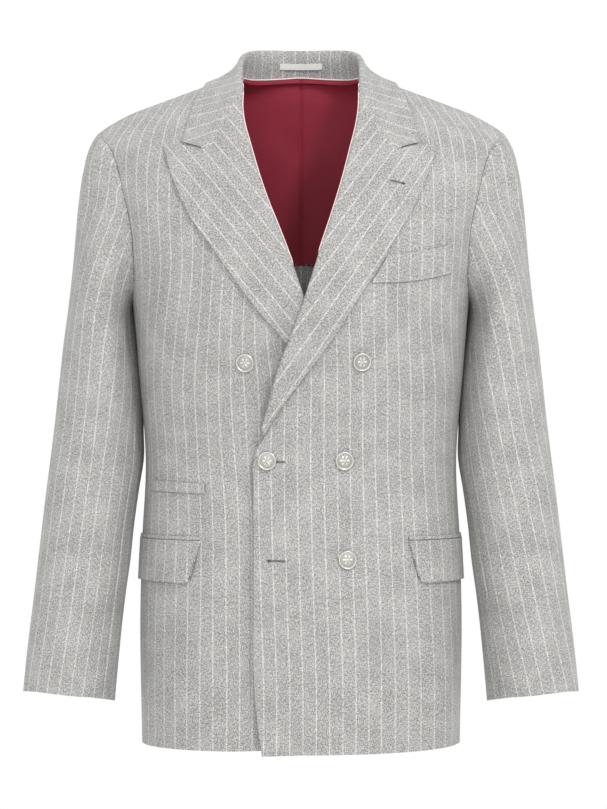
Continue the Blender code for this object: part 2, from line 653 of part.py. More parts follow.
# ---------------------------------------------------------------- collar
def collar(lapel_end, half_steps=15):
    """Middle points of the whole collar: stand, fold and leaf, right gorge to left gorge.

    lapel_end is the lapel's row along the gorge, which the collar's end meets."""
    behind = np.array([bool(c.behind) for c in COLLAR])
    roll = np.array([(c.roll_x, c.roll_y, c.roll_z) for c in COLLAR], float)
    edge_x = np.array([c.edge_x for c in COLLAR], float)
    edge_z = np.array([c.edge_z for c in COLLAR], float)
    back_g, back_t = on_back(edge_x, edge_z)
    front_g, front_t = on_front(edge_x, edge_z)
    corner_g, corner_t = on_front(COLLAR_CORNER.x, COLLAR_CORNER.z)
    edge_g = np.append(np.where(behind, back_g, front_g), corner_g)
    edge_t = np.append(np.where(behind, 2 * SEAM_T - back_t, front_t), corner_t)
    edge_g = np.where(edge_g > 1, 2 - edge_g, edge_g)
    neck_x = np.array([c.neck_x for c in COLLAR], float)
    neck_y = np.array([c.neck_y for c in COLLAR], float)
    guess = np.where(behind, 2 - np.clip(neck_x / 250, 0, 0.35), 0.32)
    neck_g, neck_t = locate(guess, 735.0, x=neck_x, y=neck_y)
    tuck_g, tuck_t = on_front(GORGE[0].x + TUCK, GORGE[0].z)
    neck_g, neck_t = np.append(neck_g, tuck_g), np.append(neck_t, tuck_t)
    body_n = normal(neck_g, neck_t)
    neck = form(neck_g, neck_t) - body_n * CLOTH / 2
    end_g, end_t = on_front(GORGE[0].x, GORGE[0].z)
    end_n = normal(end_g, end_t)
    roll = np.append(roll, [form(end_g, end_t) + end_n * (FOLD - CLOTH / 2)], axis=0)

    knots = lengths(roll)
    fine = np.linspace(0, 1, 400)
    crowd = lengths(np.column_stack([fine, 0.9 * smooth_step((fine - 0.36) / 0.4)]))
    even = knots[-1] * np.interp(np.linspace(0, crowd[-1], half_steps + 1), crowd, fine)
    roll, neck = spline(knots, roll, even), spline(knots, neck, even)
    body_n = spline(knots, body_n, even)
    place = spline(knots, np.column_stack([edge_g, edge_t]), even)
    past = place[:, 1] > SEAM_T
    edge_g = np.where(past, 2 - place[:, 0], place[:, 0])
    edge_t = np.where(past, 2 * SEAM_T - place[:, 1], place[:, 1])
    settle = smooth_step((even / even[-1] - 0.7) / 0.3)
    lift = LEAF_LIFT + (LAY_GAP + COLLAR_CLOTH / 2 + 0.4 - LEAF_LIFT) * settle
    lift = lift + RIDGE_LIFT * np.exp(-((even / even[-1] - 0.58) / 0.12) ** 2)
    edge = form(edge_g, edge_t) + normal(edge_g, edge_t) * lift[:, None]
    roll[0, 0] = edge[0, 0] = neck[0, 0] = 0.0

    end_row = lapel_end[:2 + FOLD_STEPS - 1 + GORGE_COLUMNS] + MITRE
    corner_run = np.linspace(0, 1, 4)[1:, None]
    end_leaf = np.concatenate([end_row[1 + FOLD_STEPS:], end_row[-1] + (edge[-1] - end_row[-1]) * corner_run])
    run = lengths(end_leaf)
    part = run / run[-1]

    grid = []
    for k in range(half_steps):
        share = even[k] / even[-1]
        up = roll[k] - neck[k]
        up /= np.linalg.norm(up)
        way = (edge[k] - roll[k]) / np.linalg.norm(edge[k] - roll[k])
        way = way + (body_n[k] - way) * smooth_step((share - 0.45) / 0.4)
        out = way - up * np.dot(way, up)
        out /= np.linalg.norm(out)
        start = neck[k] + up * (STAND_LIFT + (0.9 - STAND_LIFT) * smooth_step((share - 0.6) / 0.4))
        crest = roll[k] - (up + out) * FOLD
        row = [start, crest]
        for step in range(1, FOLD_STEPS):
            angle = math.pi * step / FOLD_STEPS
            row.append(crest + out * FOLD * (1 - math.cos(angle)) + up * FOLD * math.sin(angle))
        top = crest + out * 2 * FOLD
        fall = np.linalg.norm(edge[k] - top)
        pull = top - up * fall * 0.42
        land = edge[k] + (top - edge[k]) * 0.22
        leaf = np.array([(1 - w) ** 3 * top + 3 * w * (1 - w) ** 2 * pull
                         + 3 * w * w * (1 - w) * land + w ** 3 * edge[k] for w in part])
        straight = end_leaf[0] + (end_leaf[-1] - end_leaf[0]) * part[:, None]
        leaf = leaf + (end_leaf - straight) * smooth_step((share - 0.42) / 0.58) ** 1.4
        leaf[1:] = off_body(leaf[1:], lift[k])
        grid.append(row + list(leaf))
    first_end = [end_row[0], end_row[1]] + list(end_row[2:1 + FOLD_STEPS])
    grid.append(first_end + list(end_leaf))
    half = np.array(grid)
    mirrored = half[:0:-1] * np.array([-1.0, 1.0, 1.0])
    return np.concatenate([mirrored, half])


# ---------------------------------------------------------------- sleeves
def sleeve_rings(ring_g, ring_t):
    """Middle points of the whole left sleeve, armhole to cuff, as rings from the shoulder tip."""
    face = form(ring_g, ring_t)
    out = normal(ring_g, ring_t)
    seam = face - out * CLOTH / 2
    count = len(seam)
    along = np.roll(seam, -1, axis=0) - np.roll(seam, 1, axis=0)
    along /= np.linalg.norm(along, axis=1, keepdims=True)
    centre = seam.mean(axis=0)
    inward = np.cross(along, out)
    toward = centre - seam
    inward *= np.sign(np.sum(inward * toward, axis=1))[:, None]

    closed = np.concatenate([seam, seam[:1]])
    share = lengths(closed)[:-1] / lengths(closed)[-1]
    rows = []
    for row in SLEEVE:
        a = (row.x_out - row.x_in) / 2
        b = row.depth / 2
        angle = np.linspace(0, 2 * math.pi, 721)
        oval = np.column_stack([a * np.cos(angle), -b * np.sin(angle)])
        run = lengths(oval)
        at = np.interp(share * run[-1], run, angle)
        inner = np.maximum(-np.cos(at), 0)
        x = row.x_in + a + a * np.where(inner > 0, -inner ** 0.8, np.cos(at))
        x = x + SLEEVE_SKEW * inner * np.sin(at)
        y = row.y_middle - b * np.sin(at)
        lean = (row.x_out - x) / (row.x_out - row.x_in)
        z = row.z_out + (row.z_in - row.z_out) * lean
        rows.append(np.column_stack([x, y, z]))
    rows = np.array(rows)
    knots = np.array([0.5 * (row.z_in + row.z_out) for row in SLEEVE])
    knots = knots[0] - knots

    first = rows[0]
    down = (rows[1] - rows[0]) / (knots[1] - knots[0])
    high = (seam[:, 2] - seam[:, 2].min()) / np.ptp(seam[:, 2])
    leave = np.column_stack([0.92 - 0.12 * high, 0.25 * (seam[:, 1] - centre[1]) / 60,
                             -0.42 - 0.36 * np.sin(math.pi * high) - 0.10 * high])
    leave /= np.linalg.norm(leave, axis=1, keepdims=True)
    apart = leave - along * np.sum(leave * along, axis=1, keepdims=True)
    apart /= np.linalg.norm(apart, axis=1, keepdims=True)
    travel = np.linalg.norm(first - seam, axis=1)
    turn = np.arctan2(np.linalg.norm(np.cross(inward, apart), axis=1), np.sum(inward * apart, axis=1))
    beside = (1.35 * CLOTH / 2 - np.cos(turn) * CLOTH / 2) / np.maximum(np.sin(turn), 1e-3)
    ahead = (0.25 + np.sin(turn) * CLOTH / 2) / np.maximum(np.cos(turn), 1e-3)
    ahead = np.where(np.cos(turn) > 0.05, ahead, 1e3)
    clear = np.clip(np.minimum(beside, ahead) + 0.35, 0.5, 4.0)
    start = seam + apart * clear[:, None]
    pull = np.minimum(travel * 0.62, 95.0)
    cap = []
    for s in np.linspace(0, 1, CAP_ROWS + 1)[:-1]:
        h00, h10 = (1 + 2 * s) * (1 - s) ** 2, s * (1 - s) ** 2
        h01, h11 = s * s * (3 - 2 * s), s * s * (s - 1)
        cap.append(h00 * start + h10 * leave * pull[:, None] + h01 * first
                   + h11 * down * travel[:, None])
    levels = np.linspace(0, knots[-1], SLEEVE_ROWS + 1)
    lower = spline(knots, rows.reshape(len(rows), -1), levels).reshape(len(levels), count, 3)
    return np.concatenate([np.array(cap), lower])


# ---------------------------------------------------------------- small pieces
def strip(top, foot, lift, columns=8):
    """Middle points of a welt between two lines of the front view."""
    lines = []
    for line in (foot, top):
        points = resample([(p.x, p.z) for p in line], columns)
        g, t = on_front(points[:, 0], points[:, 1])
        lines.append(form(g, t) + normal(g, t) * lift)
    return np.array(lines)


def pocket_line(x_front):
    """g from the pocket's front end to its back end, and t at its top."""
    g0, t0 = on_front(x_front, FLAP_TOP)
    g = np.linspace(float(g0), 1.3, 300)
    run = lengths(form(g, t0))
    return lambda d: np.interp(d, run, g), float(t0)


def flap(x_front):
    """Middle points of a hip flap: slanted front edge, both lower corners rounded."""
    at, t0 = pocket_line(x_front)
    corner = FLAP_CORNER
    ends = np.array([0.0, corner * 0.3, corner])
    along = np.concatenate([ends, np.linspace(corner, FLAP_LENGTH - corner, 7)[1:-1],
                            FLAP_LENGTH - ends[::-1]])
    inset = np.maximum(corner - np.minimum(along, FLAP_LENGTH - along), 0)
    rise = corner - np.sqrt(corner ** 2 - inset ** 2)
    rows = []
    for share in np.linspace(1, 0, 5):
        deep = share * (FLAP_DEPTH - rise)
        d = along + FLAP_SLANT * share * (1 - along / FLAP_LENGTH)
        g = at(d)
        t = t0 - deep
        lift = LAY_GAP - 0.2 + FLAP_CLOTH / 2 + share
        rows.append(form(g, t) + normal(g, t) * lift)
    return np.array(rows)


def jet(x_front, columns=10):
    """Middle points of the jet above a flap."""
    at, t0 = pocket_line(x_front)
    g = at(np.linspace(0, FLAP_LENGTH, columns))
    lift = LAY_GAP + WELT_CLOTH / 2
    return np.array([form(g, t0 + up) + normal(g, t0 + up) * lift
                     for up in (SEAM_GAP * 2, JET_DEPTH)])


def lining(g, t):
    """Middle points of one half of the back lining, from the back panel's own rows."""
    levels = t[:, 0]
    foot = float(on_back(0.0, LINING_FOOT)[1])
    keep = levels > foot + 8
    lower = np.flatnonzero(~keep)[-1]
    share = (foot - levels[lower]) / (levels[lower + 1] - levels[lower])
    first_g = g[lower] + (g[lower + 1] - g[lower]) * share
    first_t = t[lower] + (t[lower + 1] - t[lower]) * share
    g = np.concatenate([first_g[None], g[keep]])
    t = np.concatenate([first_t[None], t[keep]])
    grid = form(g, t) - normal(g, t) * (CLOTH + LINING_LAY + LINING_CLOTH / 2)
    grid[-1] = grid[-2] + (grid[-1] - grid[-2]) * 0.6
    grid[-1, -3:] -= normal(g[-1, -3:], t[-1, -3:]) * LINING_LAY
    return trimmed(grid, left=LINING_EDGE, right=SEAM_GAP / 2)


def hanger_loop(collar_grid, columns=7):
    """Middle points of the tape on the inner face of the collar stand."""
    low, high = collar_grid[:, 0], collar_grid[:, 1]
    x = np.linspace(-LOOP_WIDTH / 2, LOOP_WIDTH / 2, columns)
    rows = []
    for z in (LOOP_Z - LOOP_HEIGHT / 2, LOOP_Z + LOOP_HEIGHT / 2):
        foot = np.array([np.interp(x, low[:, 0], low[:, k]) for k in range(3)]).T
        crest = np.array([np.interp(x, high[:, 0], high[:, k]) for k in range(3)]).T
        share = ((z - foot[:, 2]) / (crest[:, 2] - foot[:, 2]))[:, None]
        point = foot + (crest - foot) * share
        point[:, 0] = x
        point[:, 1] -= COLLAR_CLOTH / 2 + 0.5 + LINING_CLOTH / 2
        rows.append(point)
    return np.array(rows)


def button(name, x, z, lift, surface):
    """A rimmed metal button standing on the cloth."""
    side = -1.0 if x < 0 and name.endswith("top_right") else 1.0
    own_x = x * side
    g, t = on_front(own_x, z)
    centre = form(g, t)
    n = normal(g, t)
    sink = press(centre[0], centre[2], OVER_EDGE) if side < 0 else 0.0
    centre = centre + n * (lift - sink)
    mirror = np.array([side, 1.0, 1.0])
    centre, n = centre * mirror, n * mirror
    up = np.array([0.0, 0.0, 1.0])
    across = np.cross(up, n)
    across /= np.linalg.norm(across)
    up = np.cross(n, across)
    radius = BUTTON_D / 2
    profile = ((0.42, 0.0), (0.96, 0.5), (1.0, 0.8), (0.92, 1.0), (0.82, 0.96), (0.76, 0.84))
    steps = 16
    verts = []
    for share, height in profile:
        for k in range(steps):
            angle = 2 * math.pi * k / steps
            verts.append(centre + n * height * BUTTON_THICK
                         + (across * math.cos(angle) + up * math.sin(angle)) * share * radius)
    faces = []
    for r in range(len(profile) - 1):
        for k in range(steps):
            nxt = (k + 1) % steps
            faces.append((r * steps + k, r * steps + nxt, (r + 1) * steps + nxt, (r + 1) * steps + k))
    faces.append(tuple(range(steps))[::-1])
    faces.append(tuple(range((len(profile) - 1) * steps, len(profile) * steps)))
    return place_object(name, verts, faces, surface)


def build():
    """The whole blazer."""
    for old in list(bpy.data.objects):
        bpy.data.objects.remove(old, do_unlink=True)
    flannel = material("flannel", FLANNEL, 0.95)
    light = material("flannel_turned", FLANNEL_LIGHT, 0.95)
    satin = material("satin_lining", SATIN, 0.35)
    tape = material("satin_tape", TAPE, 0.5)
    metal = material("silver_metal", METAL, 0.35, 1.0)
    ring_g, ring_t = armhole()
    half = SEAM_GAP / 2

    def panel(name, place, pressed=None, mirror=False, **trims):
        grid, n = body_wall(*place, pressed)
        wall(name, trimmed(grid, **trims), CLOTH, flannel, mirror, n)

    panel("front_left", front_panel(OVER_EDGE, ring_g, ring_t, OVER_HEM), end=half, right=half)
    panel("front_right", front_panel(UNDER_EDGE, ring_g, ring_t), OVER_EDGE, True,
          end=half, right=half)
    for side, flip in (("left", False), ("right", True)):
        panel("side_" + side, side_panel(ring_g, ring_t), None, flip, end=half, left=half, right=half)
        panel("back_" + side, back_panel(ring_g, ring_t), None, flip, end=half, left=half, right=half)

    over = lapel(ROLL_OVER, EDGE_OVER)
    under = lapel(ROLL_UNDER, EDGE_UNDER, under=True)
    wall("lapel_left", over, LAPEL_CLOTH, light)
    wall("lapel_right", under, LAPEL_CLOTH, light, mirror=True)
    collar_grid = collar(over[-1])
    collar_n = sheet_normals(collar_grid)
    shared = slice(0, FOLD_STEPS + 1 + GORGE_COLUMNS)
    flip = np.array([-1.0, 1.0, 1.0])
    collar_grid[0, shared] = (under[-1, shared] + MITRE) * flip
    collar_n[0, shared] = -sheet_normals(under)[-1, shared] * flip
    collar_n[-1, shared] = -sheet_normals(over)[-1, shared]
    wall("collar", collar_grid, COLLAR_CLOTH, light, n=collar_n)

    rings = sleeve_rings(ring_g, ring_t)
    around = np.concatenate([rings[:, -1:], rings, rings[:, :1]], axis=1)
    normals = sheet_normals(around)[:, 1:-1]
    total = rings.shape[1]
    front_seam, back_seam = FRONT_STEPS + 1, FRONT_STEPS + UNDER_STEPS + 3
    top_part = [k % total for k in range(back_seam, front_seam + total + 1)]
    under_part = list(range(front_seam, back_seam + 1))
    for side, flip in (("left", False), ("right", True)):
        for name, index in (("top_sleeve_", top_part), ("under_sleeve_", under_part)):
            grid = trimmed(rings[:, index], left=half, right=half)
            wall(name + side, grid, CLOTH, flannel, flip, normals[:, index])

    welt_lift = LAY_GAP + 0.15 + WELT_CLOTH / 2
    wall("breast_welt", strip(BREAST_WELT_TOP, BREAST_WELT_FOOT, welt_lift), WELT_CLOTH, flannel)
    wall("ticket_welt", strip(TICKET_WELT_TOP, TICKET_WELT_FOOT, welt_lift), WELT_CLOTH, flannel,
         mirror=True)
    for side, x, flip in (("left", FLAP_FRONT_LEFT, False), ("right", FLAP_FRONT_RIGHT, True)):
        wall("flap_" + side, flap(x), FLAP_CLOTH, flannel, flip)
        wall("jet_" + side, jet(x), WELT_CLOTH, flannel, flip)

    for side, flip in (("left", False), ("right", True)):
        wall("lining_" + side, lining(*back_panel(ring_g, ring_t)), LINING_CLOTH, satin, flip)
    wall("hanger_loop", hanger_loop(collar_grid), LINING_CLOTH, tape)
    for b in BUTTONS:
        button(b.name, b.x, b.z, b.lift, metal)


build()
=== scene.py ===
"""Looks of an unstructured double-breasted blazer, hollow and filled out as if worn.

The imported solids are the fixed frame. Every cut piece of cloth is laid again here as a dense
curved sheet on the same body face, with its wall, soft edges, stripes and sewing.
Sizes are millimetres and become metres when a mesh is made.
"""
import math
from collections import namedtuple

import bpy
import numpy as np
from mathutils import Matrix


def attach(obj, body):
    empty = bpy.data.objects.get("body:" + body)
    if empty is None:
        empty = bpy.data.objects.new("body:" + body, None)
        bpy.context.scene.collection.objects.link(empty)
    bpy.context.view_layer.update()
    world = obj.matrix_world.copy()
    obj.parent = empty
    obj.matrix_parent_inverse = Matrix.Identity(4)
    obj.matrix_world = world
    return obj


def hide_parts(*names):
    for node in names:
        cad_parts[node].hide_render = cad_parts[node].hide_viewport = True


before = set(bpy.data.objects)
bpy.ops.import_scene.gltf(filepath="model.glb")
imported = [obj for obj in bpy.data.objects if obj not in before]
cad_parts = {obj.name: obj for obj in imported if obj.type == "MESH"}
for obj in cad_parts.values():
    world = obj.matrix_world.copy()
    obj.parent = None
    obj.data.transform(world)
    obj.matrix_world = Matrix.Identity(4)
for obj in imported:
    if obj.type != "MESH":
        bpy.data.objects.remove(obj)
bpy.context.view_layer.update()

bl_info = {
    "name": "Double-breasted Blazer",
    "version": (1, 0, 0),
    "blender": (4, 5, 0),
    "location": "3D View > Sidebar > Blazer",
    "description": "Lays the cloth, lining, pockets and buttons of a chalk-stripe blazer",
    "category": "Object",
}

MM = 0.001
MIRROR = np.array([-1.0, 1.0, 1.0])
SIDES = (("left", False), ("right", True))      # a side, and whether it is the mirrored one


def rows_of(kind, *rows):
    """Rows of plain numbers as named tuples of one kind."""
    return tuple(kind(*row) for row in rows)



# cloth and seams
CLOTH = 2.0            # body, side, back and sleeve walls
LAPEL_CLOTH = 2.0
COLLAR_CLOTH = 2.2
FLAP_CLOTH = 1.8
WELT_CLOTH = 1.4
LINING_CLOTH = 1.0
SEAM_GAP = 0.3         # between two pieces sewn together
LAY_GAP = 0.8          # between a piece and the panel it lies on

# body face: g is 0 at the front middle, 1 at the side, 2 at the back middle
SEAM_T = 756.0         # the shoulder seam's place along t, which is 0 at the hem
SCYE_T = 488.0         # the underarm level
COLUMNS = 121          # points kept along each half girth
HEM_DOWN = 738.0       # height of the shoulder line over the hem, for first guesses
HALF_WIDE = 260.0      # and half the body's width
GIRTH = 240.0          # about how long one unit of g is
NECK_SOFT = 4.0        # how softly the body face flattens inside the neck

Section = namedtuple("Section", "place t z_side rise x_side y_side y_middle wide run bow tip")
SECTIONS = rows_of(
    Section,
    # place             t   z_side rise x_side y_side y_mid  wide   run   bow  tip
    ("front hem", 0, -742, 3, 176, -85, -222, 0.62, 0.55, 1.0, 0),
    ("front hip", 138, -600, -2, 178, -85, -226, 0.62, 0.55, 1.0, 0),
    ("front pocket", 218, -520, 0, 176, -85, -222, 0.61, 0.55, 1.0, 0),
    ("front waist", 308, -430, 0, 172, -85, -215, 0.60, 0.55, 1.0, 0),
    ("front low chest", 398, -340, 0, 179, -85, -225, 0.62, 0.57, 1.0, 0),
    ("front scye", 488, -250, 2, 187, -86, -234, 0.64, 0.60, 1.0, 0),
    ("front chest", 548, -190, 12, 196, -87, -224, 0.64, 0.64, 1.0, 0),
    ("front upper", 608, -133, 36, 209, -96, -190, 0.62, 0.66, 0.9, 0),
    ("front yoke", 660, -96, 66, 217, -104, -140, 0.60, 0.60, 0.6, 2),
    ("front ridge", 712, -76, 84, 220, -101, -92, 0.50, 0.50, 0.2, 6),
    ("shoulder", 756, -66, 86, 221, -88, -45, 0.40, 0.40, 0.0, 7),
    ("back ridge", 800, -76, 82, 220, -72, 1, 0.50, 0.50, 0.35, 6),
    ("back yoke", 852, -98, 70, 216, -50, 12, 0.60, 0.60, 0.7, 2),
    ("back upper", 904, -133, 30, 208, -64, 22, 0.62, 0.64, 0.95, 0),
    ("back chest", 964, -190, 6, 196, -80, 28, 0.64, 0.62, 1.0, 0),
    ("back scye", 1024, -250, 0, 187, -86, 27, 0.64, 0.60, 1.0, 0),
    ("back low chest", 1114, -340, 0, 179, -85, 14, 0.62, 0.58, 1.0, 0),
    ("back waist", 1204, -430, 0, 172, -85, 2, 0.60, 0.58, 1.0, 0),
    ("back pocket", 1294, -520, 0, 176, -85, 10, 0.62, 0.58, 1.0, 0),
    ("back hip", 1374, -600, 0, 178, -85, 19, 0.62, 0.58, 1.0, 0),
    ("back hem", 1512, -742, 0, 176, -85, 24, 0.62, 0.58, 1.0, 0),
)

# armhole seam, seen from the side, starting at the shoulder tip and going down the front
ArmholePoint = namedtuple("ArmholePoint", "place y z")
ARMHOLE = rows_of(
    ArmholePoint,
    ("tip", -88, -66),
    ("front top", -104, -79),
    ("front", -111, -100),
    ("front", -130, -135),
    ("front", -140.5, -170),
    ("front", -142, -203),
    ("front seam", -128, -237),
    ("bottom", -92, -251),
    ("back seam", -54, -237),
    ("back", -31, -200),
    ("back", -21, -155),
    ("back", -26, -112),
    ("back top", -52, -77),
)
FRONT_STEPS, UNDER_STEPS, BACK_STEPS = 12, 6, 11     # armhole points in each panel's stretch

# roll line, front edge and lapel outline of each front, on its own side (x, z)
OutlinePoint = namedtuple("OutlinePoint", "x z")
ROLL_OVER = rows_of(
    OutlinePoint, (64.5, -27), (64, -42), (61.5, -61), (54.5, -91), (44.8, -129), (33.3, -167),
    (23, -198), (6.5, -250), (-9.8, -295), (-23.8, -332), (-33, -366), (-41, -394), (-47, -414),
    (-50.5, -440))
ROLL_UNDER = rows_of(
    OutlinePoint, (64.5, -27), (64.8, -42), (62.5, -61), (55.2, -89), (47, -118), (36.4, -150),
    (26.2, -175.6), (9.7, -218.7), (-5, -262), (-19, -310), (-31, -350), (-41, -386), (-47, -410),
    (-50.5, -440))
EDGE_OVER = rows_of(
    OutlinePoint, (148, -85), (142.5, -104), (132.6, -130), (119.8, -158.5), (104.5, -184),
    (88.2, -213), (71.7, -240), (55.3, -265), (40.2, -290), (16.4, -323), (-5.5, -352), (-24, -376),
    (-39.5, -401))
EDGE_UNDER = rows_of(
    OutlinePoint, (150, -85), (143.5, -108), (133, -136), (119, -166), (101.3, -192.2),
    (83.5, -216.8), (65.8, -241.8), (46.4, -267.9), (26, -292.3), (6, -317), (-14, -343),
    (-25, -357))
GORGE = rows_of(
    OutlinePoint, (64.5, -27), (72, -39), (79.5, -53), (86, -67), (93, -82), (99.5, -93))
COLLAR_CORNER = OutlinePoint(128, -84)
FRONT_EDGE = 51.0          # how far each front passes the middle below the break
HEM_CORNER = 9.0           # how far the front edge draws back at the hem
OVER_HEM = 5.0             # how much lower the over-front hangs at its edge

# folded edges
FOLD_STEPS = 4             # facets round a fold
HALF_STEPS = 15          # rows of the collar on each side of the nape
GORGE_COLUMNS = 6          # columns along the gorge seam
FOLD = 2.6                 # middle radius where a lapel or the collar rolls over
TIGHT_FOLD = 1.8           # the same where the under lapel lies below the over-front
TUCK = 5.4                 # how far the front's own edge stands back from the rolled edge
EASE = 34.0                # width over which the rolled height settles onto the front
PRESS_LAPEL = 6.6          # how far the under side is pressed in below the other's lapel
PRESS_FRONT = 3.0          # and below the plain front
PRESS_WIDTH = 48.0
BREAK_LEVELS = (318.0, 334.0)   # the stretch of t over which the tucked edge starts

# collar, half of it, from the back middle to the gorge
CollarStation = namedtuple("CollarStation", "roll_x roll_y roll_z neck_x neck_y edge_x edge_z behind")
COLLAR = rows_of(
    CollarStation,
    (0, -4, 31, 0, 0, 0, -12, 1),
    (27, -7, 31, 30, -5, 34, -13, 1),
    (47, -18, 30, 54, -20, 66, -16, 1),
    (60, -36, 26, 68, -40, 92, -21, 1),
    (65.5, -57, 17, 75, -61, 108, -21, 0),
    (66, -75, 5, 74, -78, 116, -37, 0),
    (65.5, -92, -8, 71, -94, 122.5, -58, 0),
)
NECK_SIDE = (75.0, -60.0)      # the neck point of the shoulder seam (x, y)
STAND_LIFT = 1.7               # the stand starts this far above the neck seam
LEAF_LIFT = 2.2                # the leaf's middle above the body face
RIDGE_LIFT = 0.3               # how much more it stands off over the shoulder seam
MITRE = np.array([0.45, 0.38, 0.30])   # from the lapel's gorge edge to the collar's

# sleeve, left; the ring between the armhole and the cuff, one row for each girth
SleeveRow = namedtuple("SleeveRow", "z_in z_out x_in x_out y_middle depth")
SLEEVE = rows_of(
    SleeveRow,
    (-277, -262, 189.2, 256.5, -80, 146),
    (-318, -306, 184.2, 262.0, -83, 140),
    (-372, -362, 179.4, 268.0, -88, 130),
    (-425, -417, 176.2, 274.5, -95, 119),
    (-482, -474, 184.0, 281.5, -104, 110),
    (-538, -530, 189.3, 287.5, -112, 102),
    (-592, -585, 196.5, 293.0, -118, 95),
    (-646, -638, 202.3, 299.0, -122, 90),
    (-694, -684, 206.5, 303.5, -125, 86),
)
CAP_ROWS, SLEEVE_ROWS = 6, 11
SLEEVE_SKEW = 9.0              # how far the sleeve's inner side leans in behind the body

# pockets: corners on the right front (x, z); the left hip pocket mirrors the right
FLAP_TOP, FLAP_DEPTH, FLAP_LENGTH = -515.5, 45.5, 138.0
FLAP_SLANT, FLAP_CORNER, JET_DEPTH = 11.0, 9.0, 4.4
FLAP_FRONT_LEFT, FLAP_FRONT_RIGHT = 115.5, 107.0
BREAST_WELT_TOP = rows_of(OutlinePoint, (93.5, -208.8), (118, -206.3), (145, -200.5), (161, -196.5))
BREAST_WELT_FOOT = rows_of(OutlinePoint, (74.8, -239.5), (110, -238), (142, -232.3), (162, -226.8))
TICKET_WELT_TOP = rows_of(OutlinePoint, (103, -454.3), (132, -453.2), (162, -451.5))
TICKET_WELT_FOOT = rows_of(OutlinePoint, (103, -464.8), (132, -464.2), (162, -463))

BUTTON_THICK = 3.2
Button = namedtuple("Button", "name x z lift")   # lift: its foot above the body face
BUTTONS = (
    Button("button_top_right", -59.4, -324.7, 0.3), Button("button_top_left", 64.9, -323.6, 0.45),
    Button("button_middle_right", -35.8, -429.3, 0.8), Button("button_middle_left", 46.4, -429.3, 0.8),
    Button("button_low_left", 49.6, -535.1, -0.2),
)

LINING_FOOT = -210.0           # lower edge of the back half-lining
LINING_EDGE = 3.0              # how far it stops short of the armhole
LINING_LAY = 1.3               # between it and the back
LOOP_WIDTH, LOOP_HEIGHT, LOOP_Z = 48.0, 7.0, 13.5


# ---------------------------------------------------------------- curves
def spline(knots, values, at):
    """Smooth curve through rows of values at rising knots; straight beyond its ends."""
    knots = np.asarray(knots, float)
    values = np.asarray(values, float)
    at = np.asarray(at, float)
    step = np.diff(knots)
    slope = np.diff(values, axis=0) / step[:, None]
    bend = np.empty_like(values)
    bend[0], bend[-1] = slope[0], slope[-1]
    bend[1:-1] = (slope[:-1] * step[1:, None] + slope[1:] * step[:-1, None]) / (
        step[1:] + step[:-1])[:, None]
    place = np.clip(np.searchsorted(knots, at, side="right") - 1, 0, len(knots) - 2)
    width = step[place]
    u = ((at - knots[place]) / width)[..., None]
    width = width[..., None]
    inside = np.clip(u, 0, 1)
    curve = ((1 + 2 * inside) * (1 - inside) ** 2 * values[place]
             + inside * (1 - inside) ** 2 * width * bend[place]
             + inside ** 2 * (3 - 2 * inside) * values[place + 1]
             + inside ** 2 * (inside - 1) * width * bend[place + 1])
    beyond = (u - inside) * width
    return curve + beyond * np.where(u > 1, bend[place + 1], bend[place])


def lengths(points):
    """Running length along a line of points."""
    steps = np.linalg.norm(np.diff(points, axis=0), axis=1)
    return np.concatenate([[0.0], np.cumsum(steps)])


def read(at, run, points):
    """Points of a line at places of its running length."""
    return np.stack([np.interp(at, run, points[:, k]) for k in range(points.shape[1])], axis=-1)


def resample(points, count, dense=40):
    """Even points along the smooth curve through a few points."""
    points = np.asarray(points, float)
    knots = lengths(points)
    fine = spline(knots, points, np.linspace(0, knots[-1], dense * len(points)))
    run = lengths(fine)
    return read(np.linspace(0, run[-1], count), run, fine)


def smooth_step(u):
    """0 below 0, 1 above 1, and a soft S between."""
    u = np.clip(u, 0.0, 1.0)
    return u * u * (3 - 2 * u)


# ---------------------------------------------------------------- body face
def girth(section):
    """Half a girth section, front or back middle to side, as evenly spaced points."""
    s = np.linspace(0, 1, 400)
    middle = np.array([0.0, section.y_middle])
    side = np.array([section.x_side, section.y_side], float)
    flat = middle + (side - middle) * np.array([[1 / 3], [2 / 3]])
    full = np.array([
        [section.wide * section.x_side, section.y_middle],
        [section.x_side, section.y_side + section.run * (section.y_middle - section.y_side)]])
    handle = flat + (full - flat) * section.bow
    plan = ((1 - s) ** 3)[:, None] * middle + (3 * s * (1 - s) ** 2)[:, None] * handle[0]
    plan += (3 * s * s * (1 - s))[:, None] * handle[1] + (s ** 3)[:, None] * side
    across = plan[:, 0] / section.x_side
    drop = section.tip * (1 - np.clip((across - 0.8) / 0.2, 0, 1) ** 2)
    z = section.z_side + drop + section.rise * (1 - across)
    curve = np.column_stack([plan, z])
    run = lengths(curve)
    return read(np.linspace(0, run[-1], COLUMNS), run, curve)


FORM_T = np.array([section.t for section in SECTIONS], float)
FORM = np.array([girth(section) for section in SECTIONS])


